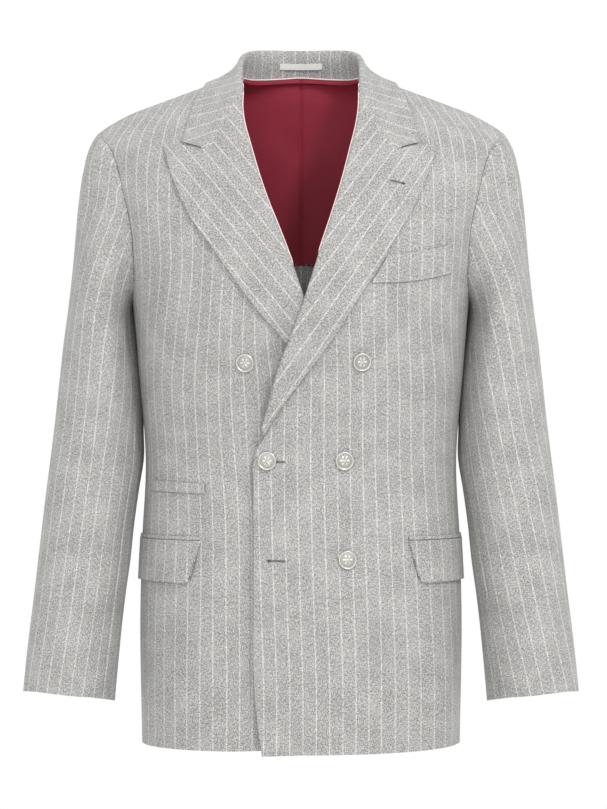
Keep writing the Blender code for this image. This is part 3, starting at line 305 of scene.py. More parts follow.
def form(g, t):
    """Point of the body's outer face, left half; g below 0 passes the front middle."""
    g, t = np.broadcast_arrays(np.asarray(g, float), np.asarray(t, float))
    shape = g.shape
    g, t = g.ravel(), t.ravel()
    front = g <= 1
    q = np.where(front, g, 2 - g)
    along = np.where(front, t, 2 * SEAM_T - t)
    flip = np.where(q < 0, -1.0, 1.0)
    column = np.clip(np.abs(q), 0, 1) * (COLUMNS - 1)
    low = np.clip(column.astype(int), 0, COLUMNS - 2)
    part = (column - low)[:, None]
    step = np.diff(FORM_T)
    place = np.clip(np.searchsorted(FORM_T, along, side="right") - 1, 0, len(FORM_T) - 2)

    def rows(index):
        index = np.clip(index, 0, len(FORM_T) - 1)
        return FORM[index, low] * (1 - part) + FORM[index, low + 1] * part

    here, after = rows(place), rows(place + 1)
    before, beyond = rows(place - 1), rows(place + 2)
    width = step[place][:, None]
    width_before = step[np.maximum(place - 1, 0)][:, None]
    width_after = step[np.minimum(place + 1, len(step) - 1)][:, None]
    slope = (after - here) / width
    first, last = (place == 0)[:, None], (place == len(step) - 1)[:, None]
    start = np.where(first, slope, (((here - before) / width_before) * width + slope * width_before)
                     / (width + width_before))
    end = np.where(last, slope, (slope * width_after + ((beyond - after) / width_after) * width)
                   / (width + width_after))
    u = ((along - FORM_T[place]) / step[place])[:, None]
    point = ((1 + 2 * u) * (1 - u) ** 2 * here + u * (1 - u) ** 2 * width * start
             + u ** 2 * (3 - 2 * u) * after + u ** 2 * (u - 1) * width * end)
    point[:, 0] *= flip
    point[:, 2] = -NECK_SOFT * np.logaddexp(0.0, -point[:, 2] / NECK_SOFT)
    return point.reshape(shape + (3,))


def normal(g, t):
    """Outward direction of the body face."""
    g, t = np.broadcast_arrays(np.asarray(g, float), np.asarray(t, float))
    step_g, step_t = 0.006, 1.5
    open_side = t > SCYE_T
    high = np.where(open_side & (g <= 1), np.minimum(g + step_g, 1.0), g + step_g)
    low = np.where(open_side & (g > 1), np.maximum(g - step_g, 1.0 + 1e-9), g - step_g)
    across = form(high, t) - form(low, t)
    up = form(g, t + step_t) - form(g, t - step_t)
    n = np.cross(across, up)
    return n / np.linalg.norm(n, axis=-1, keepdims=True)


def locate(g, t, **wanted):
    """Slide (g, t) over the body face until two of x, y, z are as wanted."""
    axes = ["xyz".index(name) for name in wanted]
    goal = np.stack(np.broadcast_arrays(*[np.asarray(v, float) for v in wanted.values()]), -1)
    g = np.broadcast_to(np.asarray(g, float), goal.shape[:-1]).copy()
    t = np.broadcast_to(np.asarray(t, float), goal.shape[:-1]).copy()
    for _ in range(40):
        miss = goal - form(g, t)[..., axes]
        dg = (form(g + 0.003, t) - form(g - 0.003, t))[..., axes] / 0.006
        dt = (form(g, t + 0.7) - form(g, t - 0.7))[..., axes] / 1.4
        det = dg[..., 0] * dt[..., 1] - dg[..., 1] * dt[..., 0]
        det = np.where(np.abs(det) < 1e-3, 1e-3, det)
        g = g + np.clip((miss[..., 0] * dt[..., 1] - miss[..., 1] * dt[..., 0]) / det, -0.08, 0.08)
        t = t + np.clip((dg[..., 0] * miss[..., 1] - dg[..., 1] * miss[..., 0]) / det, -20, 20)
    return g, t


def on_front(x, z):
    """Place of a point of the front view on the front of the body face."""
    x, z = np.asarray(x, float), np.asarray(z, float)
    return locate(np.clip(x / HALF_WIDE, -0.25, 0.8), np.clip(z + HEM_DOWN, 0, 690), x=x, z=z)


def on_back(x, z):
    """Place of a point of the back view on the back of the body face."""
    x, z = np.asarray(x, float), np.asarray(z, float)
    return locate(2 - np.clip(x / HALF_WIDE, 0, 0.8), np.clip(z + HEM_DOWN, 0, 690), x=x, z=z)


def armhole():
    """(g, t) of the armhole seam, from the shoulder tip down the front and up the back."""
    points = np.array([(p.y, p.z) for p in ARMHOLE + ARMHOLE[:1]], float)
    knots = lengths(points)
    closed = np.concatenate([points[-3:-1], points, points[1:3]])
    longer = np.concatenate([knots[-3:-1] - knots[-1], knots, knots[-1] + knots[1:3]])
    front_seam = [p.place for p in ARMHOLE].index("front seam")
    back_seam = [p.place for p in ARMHOLE].index("back seam")
    stretches = ((0, front_seam, FRONT_STEPS), (front_seam, back_seam, UNDER_STEPS),
                 (back_seam, len(ARMHOLE), BACK_STEPS))
    ring = []
    for start, end, steps in stretches:
        fine = spline(longer, closed, np.linspace(knots[start], knots[end], 400))
        run = lengths(fine)
        ring.append(read(np.linspace(0, run[-1], steps + 1)[:-1], run, fine))
    ring = np.concatenate(ring)
    bottom = [p for p in ARMHOLE if p.place == "bottom"][0]
    ahead = ring[:, 0] < bottom.y
    ahead[:FRONT_STEPS] = True
    ahead[FRONT_STEPS + UNDER_STEPS:] = False
    g, t = locate(np.where(ahead, 0.93, 1.07), np.clip(ring[:, 1] + HEM_DOWN, 480, 740),
                  y=ring[:, 0], z=ring[:, 1])
    g[0], t[0] = 1.0, SEAM_T
    return g, t


# ---------------------------------------------------------------- walls
def off_body(points, lift):
    """Points moved out, where they must, until they stand at least lift off the body face."""
    points = np.array(points, float)
    ok_g = np.concatenate([np.linspace(0, 1, 90), np.linspace(1.0001, 2, 90)])
    g, t = np.meshgrid(ok_g, np.linspace(500, SEAM_T, 130))
    face, out = form(g, t).reshape(-1, 3), normal(g, t).reshape(-1, 3)
    for k, point in enumerate(points):
        near = np.argmin(np.sum((face - point) ** 2, axis=1))
        height = np.dot(point - face[near], out[near])
        if height < lift:
            points[k] = point + out[near] * (lift - height)
    return points


def sheet_normals(grid):
    """Unit normals of a grid of points, from its neighbours."""
    along = np.gradient(grid, axis=0)
    across = np.gradient(grid, axis=1)
    n = np.cross(across, along)
    return n / np.linalg.norm(n, axis=-1, keepdims=True)


def trimmed(grid, end=0.0, left=0.0, right=0.0):
    """A grid whose last row (end) and border columns (left, right) draw in by a few tenths."""
    grid = grid.copy()

    def draw(border, inner, distance):
        way = inner - border
        return border + way * (distance / np.linalg.norm(way, axis=-1, keepdims=True))

    if end:
        grid[-1] = draw(grid[-1], grid[-2], end)
    if left:
        grid[:, 0] = draw(grid[:, 0], grid[:, 1], left)
    if right:
        grid[:, -1] = draw(grid[:, -1], grid[:, -2], right)
    return grid


# ---------------------------------------------------------------- panels
def press(x, z, over_edge):
    """How far the under side is pushed in below the over-front; x, z are on its own side."""
    gap = -x - over_edge(z)
    depth = PRESS_FRONT + (PRESS_LAPEL - PRESS_FRONT) * smooth_step((z + 405) / 30)
    return depth * smooth_step((gap + PRESS_WIDTH) / PRESS_WIDTH)


def edge_function(roll):
    """x of a front's rolled or plain edge at a height, on its own side."""
    x, z = np.array(roll[::-1], float).T

    def edge(height):
        height = np.asarray(height, float)
        curve = spline(z, x[:, None], np.maximum(height, z[0]))[..., 0]
        hem = HEM_CORNER * np.clip((-640 - height) / 100, 0, 1) ** 2
        return np.maximum(curve, -FRONT_EDGE) + hem
    return edge


OVER_EDGE = edge_function(ROLL_OVER)
UNDER_EDGE = edge_function(ROLL_UNDER)


def front_levels(t_join):
    """Heights of the rows below the armhole's front seam."""
    below = np.linspace(0, BREAK_LEVELS[0], 8)
    return np.concatenate([below, np.linspace(BREAK_LEVELS[1], t_join, 6)])


def side_line(t, t_join, g_join, g_hem):
    """Where a lower seam runs: from the hem up to its armhole point."""
    return g_hem + (g_join - g_hem) * smooth_step(np.asarray(t) / t_join)


FRONT_SIDE_HEM, BACK_SIDE_HEM = 0.86, 1.17


def front_panel(edge, ring_g, ring_t, hem=0.0, columns=10):
    """(g, t) grid of a front, its own edge at the left; hem is how much longer it hangs there."""
    join = FRONT_STEPS
    low = front_levels(ring_t[join])
    levels = np.concatenate([low[:-1], ring_t[join::-1]])
    outer = np.concatenate([side_line(low[:-1], ring_t[join], ring_g[join], FRONT_SIDE_HEM),
                            ring_g[join::-1]])
    heights = np.linspace(-742, GORGE[0].z, 160)
    tuck = TUCK * smooth_step((heights + 418) / 14)
    edge_g, edge_t = on_front(edge(heights) + tuck, heights)
    neck = np.array([(c.neck_x, c.neck_y) for c in COLLAR if not c.behind][::-1] + [NECK_SIDE], float)
    neck_g, neck_t = locate(0.32, 735.0, x=neck[:, 0], y=neck[:, 1])
    neck_t[-1] = SEAM_T
    edge_g = np.concatenate([edge_g, neck_g])
    edge_t = np.concatenate([edge_t, neck_t])
    inner = np.interp(levels, edge_t, edge_g)
    part = np.linspace(0, 1, columns)
    g = inner[:, None] + (outer - inner)[:, None] * part
    t = np.repeat(levels[:, None], columns, axis=1)
    t[0] -= hem * (1 - part)
    return g, t


def side_panel(ring_g, ring_t):
    """(g, t) grid of a side panel, hem to armhole."""
    first, last = FRONT_STEPS, FRONT_STEPS + UNDER_STEPS
    low = front_levels(ring_t[first]) / ring_t[first]
    top_g, top_t = ring_g[first:last + 1], ring_t[first:last + 1]
    t = low[:, None] * top_t
    hem_g = np.linspace(FRONT_SIDE_HEM, BACK_SIDE_HEM, UNDER_STEPS + 1)
    g = hem_g + (top_g - hem_g) * smooth_step(low)[:, None]
    return g, t


def neck_line():
    """(g, t) of the back neck seam, from the nape to the neck point."""
    plan = resample([(s.neck_x, s.neck_y) for s in COLLAR if s.behind] + [NECK_SIDE], 24)
    g, t = locate(2 - np.clip(plan[:, 0] / 250, 0, 0.35), 745.0 - 30 * (1 - plan[:, 0] / 75),
                  x=plan[:, 0], y=plan[:, 1])
    t[-1] = SEAM_T
    return g, t


def back_panel(ring_g, ring_t, columns=12):
    """(g, t) grid of a back panel, side at the left, back middle at the right."""
    join = FRONT_STEPS + UNDER_STEPS
    low = front_levels(ring_t[join])
    upper_g = np.append(ring_g[join:], 1.0)
    upper_t = np.append(ring_t[join:], SEAM_T)
    levels = np.concatenate([low[:-1], upper_t])
    outer = np.concatenate([side_line(low[:-1], ring_t[join], ring_g[join], BACK_SIDE_HEM), upper_g])
    neck_g, neck_t = neck_line()
    n_g = neck_g[-1]
    shoulder = np.linspace(0, (n_g - 1.0), columns - 4)
    opening = np.linspace(n_g - 1.0, 1.0, 5)[1:]
    part = np.concatenate([shoulder, opening])
    g = outer[:, None] + (2 - outer)[:, None] * part
    top_g = 1 + part
    top_t = np.interp(top_g, neck_g[::-1], neck_t[::-1])
    top_t = np.where(top_g <= n_g + 1e-6, SEAM_T, top_t)
    bend = 560.0
    share = np.clip((levels - bend) / (SEAM_T - bend), 0, 1)[:, None]
    t = levels[:, None] + share * (top_t - SEAM_T)
    return g, t


def body_wall(g, t, pressed):
    """Middle points of a body panel's wall, and its normals."""
    outer, n = form(g, t), normal(g, t)
    sink = np.full(g.shape, CLOTH / 2)
    if pressed is not None:
        sink = sink + press(outer[..., 0], outer[..., 2], pressed)
    return outer - n * sink[..., None], n


# ---------------------------------------------------------------- lapels
def lapel(roll, edge, under=False, rows=19):
    """Middle points of a lapel: a short run below the roll, the fold, and the turned side."""
    roll, edge, gorge = (np.array(line, float) for line in (roll, edge, GORGE))
    foot = edge[-1, 1] - 8
    roll = roll[roll[:, 1] > foot]
    top = np.concatenate([gorge, edge[:1]])
    roll = resample(roll[::-1], rows)
    edge = resample(edge[::-1], rows)
    run = lengths(top) / lengths(top)[-1]
    knee = run[len(gorge) - 1]
    part = np.concatenate([np.linspace(0, knee, GORGE_COLUMNS), np.linspace(knee, 1, 4)[1:]])
    top = read(part, run, top)
    v = np.linspace(0, 1, rows)[:, None, None]
    u = part[None, :, None]
    plane = (1 - u) * roll[:, None] + u * edge[:, None]
    chord = (1 - u) * top[0] + u * top[-1]
    plane = plane + v ** 1.6 * (top[None] - chord)
    g, t = on_front(plane[..., 0], plane[..., 1])
    face = form(g, t)
    out = normal(g, t)

    grid = []
    for r in range(rows):
        row_run = lengths(face[r])
        along = face[min(r + 1, rows - 1), 0] - face[max(r - 1, 0), 0]
        away = face[r, 1] - face[r, 0]
        turn = np.linalg.norm(np.cross(along, away)) / (np.linalg.norm(along) * np.linalg.norm(away))
        radius = 1.5 + (FOLD - 1.5) * smooth_step((roll[r, 1] + 405) / 60)
        if under:
            radius = TIGHT_FOLD + (FOLD - TIGHT_FOLD) * smooth_step((roll[r, 1] + 255) / 50)
        lean = roll[min(r + 1, rows - 1)] - roll[max(r - 1, 0)]
        hidden_end = TUCK * lean[1] / np.linalg.norm(lean) - 0.7
        profile = [(hidden_end, -CLOTH / 2), (radius, -CLOTH / 2)]
        for k in range(1, FOLD_STEPS):
            angle = math.pi * k / FOLD_STEPS
            profile.append((radius - radius * math.sin(angle),
                            -CLOTH / 2 + radius - radius * math.cos(angle)))
        high = -CLOTH / 2 + 2 * radius
        low = LAY_GAP + LAPEL_CLOTH / 2
        reach = row_run[-1] * turn
        first = radius * 1.05
        for share in part:
            d = first + (reach - first) * share
            settle = smooth_step((d - first) / EASE)
            profile.append((d, high + (low - high) * settle))
        row = []
        for d, h in profile:
            place = d / turn
            base = read(place, row_run, face[r])
            if place > row_run[-1]:
                base = face[r, -1]
            n = read(place, row_run, out[r])
            n /= np.linalg.norm(n)
            sink = press(base[0], base[2], OVER_EDGE) if under else 0.0
            row.append(base + n * (h - sink))
        grid.append(row)
    return np.array(grid)


# ---------------------------------------------------------------- collar
def collar(lapel_end, half_steps=HALF_STEPS):
    """Middle points of the whole collar: stand, fold and leaf, right gorge to left gorge.

    lapel_end is the lapel's row along the gorge, which the collar's end meets."""
    stations = np.array(COLLAR, float)
    roll, behind = stations[:, :3], stations[:, 7] > 0
    neck_x, neck_y, edge_x, edge_z = stations[:, 3:7].T
    back_g, back_t = on_back(edge_x, edge_z)
    front_g, front_t = on_front(edge_x, edge_z)
    corner_g, corner_t = on_front(COLLAR_CORNER.x, COLLAR_CORNER.z)
    edge_g = np.append(np.where(behind, back_g, front_g), corner_g)
    edge_t = np.append(np.where(behind, 2 * SEAM_T - back_t, front_t), corner_t)
    edge_g = np.where(edge_g > 1, 2 - edge_g, edge_g)
    guess = np.where(behind, 2 - np.clip(neck_x / 250, 0, 0.35), 0.32)
    neck_g, neck_t = locate(guess, 735.0, x=neck_x, y=neck_y)
    tuck_g, tuck_t = on_front(GORGE[0].x + TUCK, GORGE[0].z)
    neck_g, neck_t = np.append(neck_g, tuck_g), np.append(neck_t, tuck_t)
    body_n = normal(neck_g, neck_t)
    neck = form(neck_g, neck_t) - body_n * CLOTH / 2
    end_g, end_t = on_front(GORGE[0].x, GORGE[0].z)
    end_n = normal(end_g, end_t)
    roll = np.append(roll, [form(end_g, end_t) + end_n * (FOLD - CLOTH / 2)], axis=0)

    knots = lengths(roll)
    fine = np.linspace(0, 1, 400)
    crowd = lengths(np.column_stack([fine, 0.9 * smooth_step((fine - 0.36) / 0.4)]))
    even = knots[-1] * np.interp(np.linspace(0, crowd[-1], half_steps + 1), crowd, fine)
    roll, neck = spline(knots, roll, even), spline(knots, neck, even)
    body_n = spline(knots, body_n, even)
    place = spline(knots, np.column_stack([edge_g, edge_t]), even)
    past = place[:, 1] > SEAM_T
    edge_g = np.where(past, 2 - place[:, 0], place[:, 0])
    edge_t = np.where(past, 2 * SEAM_T - place[:, 1], place[:, 1])
    settle = smooth_step((even / even[-1] - 0.7) / 0.3)
    lift = LEAF_LIFT + (LAY_GAP + COLLAR_CLOTH / 2 + 0.4 - LEAF_LIFT) * settle
    lift = lift + RIDGE_LIFT * np.exp(-((even / even[-1] - 0.58) / 0.12) ** 2)
    edge = form(edge_g, edge_t) + normal(edge_g, edge_t) * lift[:, None]
    roll[0, 0] = edge[0, 0] = neck[0, 0] = 0.0

    end_row = lapel_end[:1 + FOLD_STEPS + GORGE_COLUMNS] + MITRE
    corner_run = np.linspace(0, 1, 4)[1:, None]
    to_corner = end_row[-1] + (edge[-1] - end_row[-1]) * corner_run
    end_leaf = np.concatenate([end_row[1 + FOLD_STEPS:], to_corner])
    run = lengths(end_leaf)
    part = run / run[-1]

    grid = []
    for k in range(half_steps):
        share = even[k] / even[-1]
        up = roll[k] - neck[k]
        up /= np.linalg.norm(up)
        way = (edge[k] - roll[k]) / np.linalg.norm(edge[k] - roll[k])
        way = way + (body_n[k] - way) * smooth_step((share - 0.45) / 0.4)
        out = way - up * np.dot(way, up)
        out /= np.linalg.norm(out)
        start = neck[k] + up * (STAND_LIFT + (0.9 - STAND_LIFT) * smooth_step((share - 0.6) / 0.4))
        crest = roll[k] - (up + out) * FOLD
        row = [start, crest]
        for step in range(1, FOLD_STEPS):
            angle = math.pi * step / FOLD_STEPS
            row.append(crest + out * FOLD * (1 - math.cos(angle)) + up * FOLD * math.sin(angle))
        top = crest + out * 2 * FOLD
        fall = np.linalg.norm(edge[k] - top)
        pull = top - up * fall * 0.42
        land = edge[k] + (top - edge[k]) * 0.22
        leaf = np.array([(1 - w) ** 3 * top + 3 * w * (1 - w) ** 2 * pull
                         + 3 * w * w * (1 - w) * land + w ** 3 * edge[k] for w in part])
        straight = end_leaf[0] + (end_leaf[-1] - end_leaf[0]) * part[:, None]
        leaf = leaf + (end_leaf - straight) * smooth_step((share - 0.42) / 0.58) ** 1.4
        leaf[1:] = off_body(leaf[1:], lift[k])
        grid.append(row + list(leaf))
    grid.append(list(end_row[:1 + FOLD_STEPS]) + list(end_leaf))
    half = np.array(grid)
    return np.concatenate([half[:0:-1] * MIRROR, half])


# ---------------------------------------------------------------- sleeves
def sleeve_rings(ring_g, ring_t):
    """Middle points of the whole left sleeve, armhole to cuff, as rings from the shoulder tip."""
    face = form(ring_g, ring_t)
    out = normal(ring_g, ring_t)
    seam = face - out * CLOTH / 2
    count = len(seam)
    along = np.roll(seam, -1, axis=0) - np.roll(seam, 1, axis=0)
    along /= np.linalg.norm(along, axis=1, keepdims=True)
    centre = seam.mean(axis=0)
    inward = np.cross(along, out)
    toward = centre - seam
    inward *= np.sign(np.sum(inward * toward, axis=1))[:, None]

    closed = np.concatenate([seam, seam[:1]])
    share = lengths(closed)[:-1] / lengths(closed)[-1]
    rows = []
    for row in SLEEVE:
        a = (row.x_out - row.x_in) / 2
        b = row.depth / 2
        angle = np.linspace(0, 2 * math.pi, 721)
        oval = np.column_stack([a * np.cos(angle), -b * np.sin(angle)])
        run = lengths(oval)
        at = np.interp(share * run[-1], run, angle)
        inner = np.maximum(-np.cos(at), 0)
        x = row.x_in + a + a * np.where(inner > 0, -inner ** 0.8, np.cos(at))
        x = x + SLEEVE_SKEW * inner * np.sin(at)
        y = row.y_middle - b * np.sin(at)
        lean = (row.x_out - x) / (row.x_out - row.x_in)
        z = row.z_out + (row.z_in - row.z_out) * lean
        rows.append(np.column_stack([x, y, z]))
    rows = np.array(rows)
    knots = np.array([0.5 * (row.z_in + row.z_out) for row in SLEEVE])
    knots = knots[0] - knots

    first = rows[0]
    down = (rows[1] - rows[0]) / (knots[1] - knots[0])
    high = (seam[:, 2] - seam[:, 2].min()) / np.ptp(seam[:, 2])
    leave = np.column_stack([0.92 - 0.12 * high, 0.25 * (seam[:, 1] - centre[1]) / 60,
                             -0.42 - 0.36 * np.sin(math.pi * high) - 0.10 * high])
    leave /= np.linalg.norm(leave, axis=1, keepdims=True)
    apart = leave - along * np.sum(leave * along, axis=1, keepdims=True)
    apart /= np.linalg.norm(apart, axis=1, keepdims=True)
    travel = np.linalg.norm(first - seam, axis=1)
    turn = np.arctan2(np.linalg.norm(np.cross(inward, apart), axis=1), np.sum(inward * apart, axis=1))
    beside = (1.35 * CLOTH / 2 - np.cos(turn) * CLOTH / 2) / np.maximum(np.sin(turn), 1e-3)
    ahead = (0.25 + np.sin(turn) * CLOTH / 2) / np.maximum(np.cos(turn), 1e-3)
    ahead = np.where(np.cos(turn) > 0.05, ahead, 1e3)
    clear = np.clip(np.minimum(beside, ahead) + 0.35, 0.5, 4.0)
    start = seam + apart * clear[:, None]
    pull = np.minimum(travel * 0.62, 95.0)
    cap = []
    for s in np.linspace(0, 1, CAP_ROWS + 1)[:-1]:
        h00, h10 = (1 + 2 * s) * (1 - s) ** 2, s * (1 - s) ** 2
        h01, h11 = s * s * (3 - 2 * s), s * s * (s - 1)
        cap.append(h00 * start + h10 * leave * pull[:, None] + h01 * first
                   + h11 * down * travel[:, None])
    levels = np.linspace(0, knots[-1], SLEEVE_ROWS + 1)
    lower = spline(knots, rows.reshape(len(rows), -1), levels).reshape(len(levels), count, 3)
    return np.concatenate([np.array(cap), lower])


def pocket_line(x_front):
    """g from the pocket's front end to its back end, and t at its top."""
    g0, t0 = on_front(x_front, FLAP_TOP)
    g = np.linspace(float(g0), 1.3, 300)
    run = lengths(form(g, t0))
    return lambda d: np.interp(d, run, g), float(t0)


def hanger_loop(collar_grid, columns=9):
    """Middle points of the tape on the inner face of the collar stand."""
    low, high = collar_grid[:, 0], collar_grid[:, 1]
    x = np.linspace(-LOOP_WIDTH / 2, LOOP_WIDTH / 2, columns)
    rows = []
    for z in (LOOP_Z - LOOP_HEIGHT / 2, LOOP_Z + LOOP_HEIGHT / 2):
        foot = read(x, low[:, 0], low)
        crest = read(x, high[:, 0], high)
        share = ((z - foot[:, 2]) / (crest[:, 2] - foot[:, 2]))[:, None]
        point = foot + (crest - foot) * share
        point[:, 0] = x
        point[:, 1] -= COLLAR_CLOTH / 2 + 0.5 + LINING_CLOTH / 2
        rows.append(point)
    return np.array(rows)


# ---------------------------------------------------------------- dense sheets
def soften(at):
    """Index places with two more close to each end, where a seam rolls in."""
    first, last = at[1] - at[0], at[-1] - at[-2]
    return np.concatenate([[at[0], at[0] + 0.22 * first, at[0] + 0.55 * first], at[1:-1],
                           [at[-1] - 0.55 * last, at[-1] - 0.22 * last, at[-1]]])


def places(grid, spacing):
    """Index places along the rows that leave no step longer than the spacing."""
    steps = np.linalg.norm(np.diff(grid[..., :3], axis=0), axis=-1).max(axis=1)
    at = [np.linspace(k, k + 1, max(1, math.ceil(step / spacing)) + 1)[:-1]
          for k, step in enumerate(steps)]
    return np.append(np.concatenate(at), len(grid) - 1.0)


def along_rows(grid, at):
    """Every column of a grid as a smooth line, read at index places."""
    low = np.clip(at.astype(int), 0, len(grid) - 2)
    out = np.empty((len(at),) + grid.shape[1:])
    for c in range(grid.shape[1]):
        knots = lengths(grid[:, c, :3]) + 1e-4 * np.arange(len(grid))
        out[:, c] = spline(knots, grid[:, c], knots[low] + (at - low) * (knots[low + 1] - knots[low]))
    return out


def refine(grid, spacing, soft=True):
    """A dense grid through a coarse one, and the index places of its rows and columns."""
    rows, cols = places(grid, spacing), places(grid.transpose(1, 0, 2), spacing)
    if soft:
        rows, cols = soften(rows), soften(cols)
    dense = along_rows(grid, rows)
    dense = along_rows(dense.transpose(1, 0, 2), cols).transpose(1, 0, 2)
    return dense, rows, cols


def seam_dip(grid, sides, depth=0.45, width=1.3):
    """How far each point sinks towards its sewn borders; sides are of l, r, b (first row), t."""
    across = np.concatenate([np.zeros((len(grid), 1)),
                             np.cumsum(np.linalg.norm(np.diff(grid, axis=1), axis=-1), axis=1)], axis=1)
    up = np.concatenate([np.zeros((1, grid.shape[1])),
                         np.cumsum(np.linalg.norm(np.diff(grid, axis=0), axis=-1), axis=0)])
    far = {"l": across, "r": across[:, -1:] - across, "b": up, "t": up[-1:] - up}
    near = np.min([far[side] for side in sides], axis=0)
    return depth * np.exp(-(near / width) ** 2)


def named(name):
    """The piece just added, under its name."""
    piece = bpy.context.object
    piece.name = piece.data.name = name
    return piece


def face_outward():
    """Turns the faces of the piece in hand outward."""
    bpy.ops.object.mode_set(mode="EDIT")
    bpy.ops.mesh.select_all(action="SELECT")
    bpy.ops.mesh.normals_make_consistent(inside=False)
    bpy.ops.object.mode_set(mode="OBJECT")


def dense_places(g, t, lift, spacing):
    """(g, t, lift) of the dense sheet through a coarse one."""
    dense = refine(np.stack([g * GIRTH, t, lift], axis=-1), spacing)[0]
    return dense[..., 0] / GIRTH, dense[..., 1], dense[..., 2]


def cloth(name, grid, uv, thick, surface, node, mirror=False, rim=0.35):
    """A piece of cloth from its middle points: laid as a grid, walled by Solidify, its cut
    edges softened by Bevel."""
    if mirror:
        grid, uv = grid[:, ::-1] * MIRROR, uv[:, ::-1]
    rows, cols = grid.shape[:2]
    bpy.ops.object.select_all(action="DESELECT")
    bpy.ops.mesh.primitive_grid_add(x_subdivisions=cols - 1, y_subdivisions=rows - 1, size=1.0)
    piece = named(name)
    mesh = piece.data
    if len(mesh.vertices) != rows * cols:
        raise RuntimeError(f"{name}: the grid has {len(mesh.vertices)} points, not {rows * cols}")
    mesh.vertices.foreach_set("co", (grid * MM).reshape(-1))
    corners = np.empty(len(mesh.loops), np.int32)
    mesh.loops.foreach_get("vertex_index", corners)
    mesh.uv_layers[0].name = "cloth"
    mesh.uv_layers[0].data.foreach_set("uv", (uv.reshape(-1, 2)[corners] * MM).reshape(-1))
    mesh.update()
    wall = piece.modifiers.new("wall", "SOLIDIFY")
    wall.thickness, wall.offset = thick * MM, 0.0
    edge = piece.modifiers.new("edge", "BEVEL")
    edge.width, edge.segments, edge.limit_method = rim * MM, 2, "ANGLE"
    edge.angle_limit = math.radians(55)
    for modifier in ("wall", "edge"):
        bpy.ops.object.modifier_apply(modifier=modifier)
    mesh.materials.append(surface)
    bpy.ops.object.shade_smooth_by_angle(angle=math.radians(50))
    wide = np.linalg.norm(np.diff(grid, axis=1), axis=-1).sum(axis=1).max()
    long = np.linalg.norm(np.diff(grid, axis=0), axis=-1).sum(axis=0).max()
    wide, long = max(wide, 10.0), max(long, 10.0)
    a, b = grid[1:, 1:] - grid[:-1, :-1], grid[1:, :-1] - grid[:-1, 1:]
    area = np.linalg.norm(np.cross(a, b), axis=-1).sum() / 2
    area = min(area, 0.999 * wide * long)
    if node:
        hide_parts(node)
    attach(piece, "root")
    return piece


# ---------------------------------------------------------------- stripes
ARC_G = np.linspace(0.0, 1.0, 161)
ARC_T = np.linspace(0.0, SEAM_T, 127)


def arc_table(back):
    """Running length of the body's half girths, from the middle to the side."""
    g, t = np.meshgrid(2 - ARC_G if back else ARC_G, ARC_T)
    if back:
        g = np.maximum(g, 1.0 + 1e-6)
    points = form(g, t)
    steps = np.linalg.norm(np.diff(points, axis=1), axis=-1)
    return np.concatenate([np.zeros((len(ARC_T), 1)), np.cumsum(steps, axis=1)], axis=1)


ARCS = {False: arc_table(False), True: arc_table(True)}


def arc_length(g, t, back=False):
    """Length along the girth from the middle, negative past it; it runs on beyond the side."""
    q = 2 - g if back else g
    side = arc_value(not back, q * 0 + 1.0, t) - arc_value(not back, 2 - np.maximum(q, 1), t)
    return arc_value(back, q, t) + side


def arc_value(back, q, t):
    """The same length read off the table of one half."""
    table = ARCS[back]
    column = np.clip(np.abs(q), 0, 1) * (len(ARC_G) - 1)
    row = np.clip(t / SEAM_T, 0, 1) * (len(ARC_T) - 1)
    c = np.minimum(column.astype(int), len(ARC_G) - 2)
    r = np.minimum(row.astype(int), len(ARC_T) - 2)
    fc, fr = column - c, row - r
    value = ((table[r, c] * (1 - fc) + table[r, c + 1] * fc) * (1 - fr)
             + (table[r + 1, c] * (1 - fc) + table[r + 1, c + 1] * fc) * fr)
    return value * np.sign(q + 1e-12)


STRIPE_GAP = 14.2              # on the panels that no front view shows
COLLAR_STRIPES = (7.9, 14.7)   # where the first stripe lies beside the nape, and the gap

# where stripes lie on the fronts: their numbers, and at each level t their girth length
STRIPES_LEFT = ((0, 3, 6, 9, 11, 13), (
    (0, 2, 45, 88, 138, 180, 214), (75, 2, 45, 88, 138, 180, 214), (139, 0, 43, 87, 134, 175, 208),
    (245, -3, 40, 83, 129, 167, 204), (325, -4, 39, 81, 125, 161, 198),
    (385, -3, 39, 81, 124, 160, 198), (454, -3, 38, 79, 120, 150, 186),
    (578, -4, 37, 79, 120, 149, 178), (646, -4, 37, 78, 118, 146, 174),
    (683, -8, 33, 73, 113, 141, 169), (714, -22, 18, 58, 98, 126, 154),
    (756, -32, 8, 48, 88, 116, 144)))
STRIPES_RIGHT = ((-2, 0, 2, 4, 6, 8, 10), (
    (0, 26, 54, 81, 113, 147, 183, 218), (75, 26, 54, 81, 113, 147, 183, 218),
    (139, 26, 54, 82, 112, 146, 181, 216), (245, 27, 55, 83, 112, 143, 176, 210),
    (329, 32, 60, 88, 117, 147, 180, 213), (385, 33, 62, 90, 119, 151, 184, 217),
    (454, 37, 62, 88, 113, 142, 176, 212), (517, 30, 57, 83, 107, 132, 162, 196),
    (578, 22, 50, 78, 105, 133, 162, 191), (646, 20, 48, 76, 103, 131, 159, 188),
    (683, 15, 43, 71, 98, 126, 154, 182), (714, 0, 28, 56, 83, 111, 139, 167),
    (756, -10, 18, 46, 73, 101, 129, 157)))


def stripe_number(table, g, t):
    """Which stripe a point of a front lies on, as a running number."""
    numbers, rows = table
    rows = np.array(rows, float)
    knots = spline(rows[:, 0], rows[:, 1:], np.clip(t, 0, SEAM_T))
    arc = arc_length(g, t)
    value = numbers[0] + np.minimum(arc - knots[..., 0], 0) / 14.0
    for k in range(len(numbers) - 1):
        share = (arc - knots[..., k]) / (knots[..., k + 1] - knots[..., k])
        value = value + np.clip(share, 0, 1) * (numbers[k + 1] - numbers[k])
    return value + np.maximum(arc - knots[..., -1], 0) / 15.0


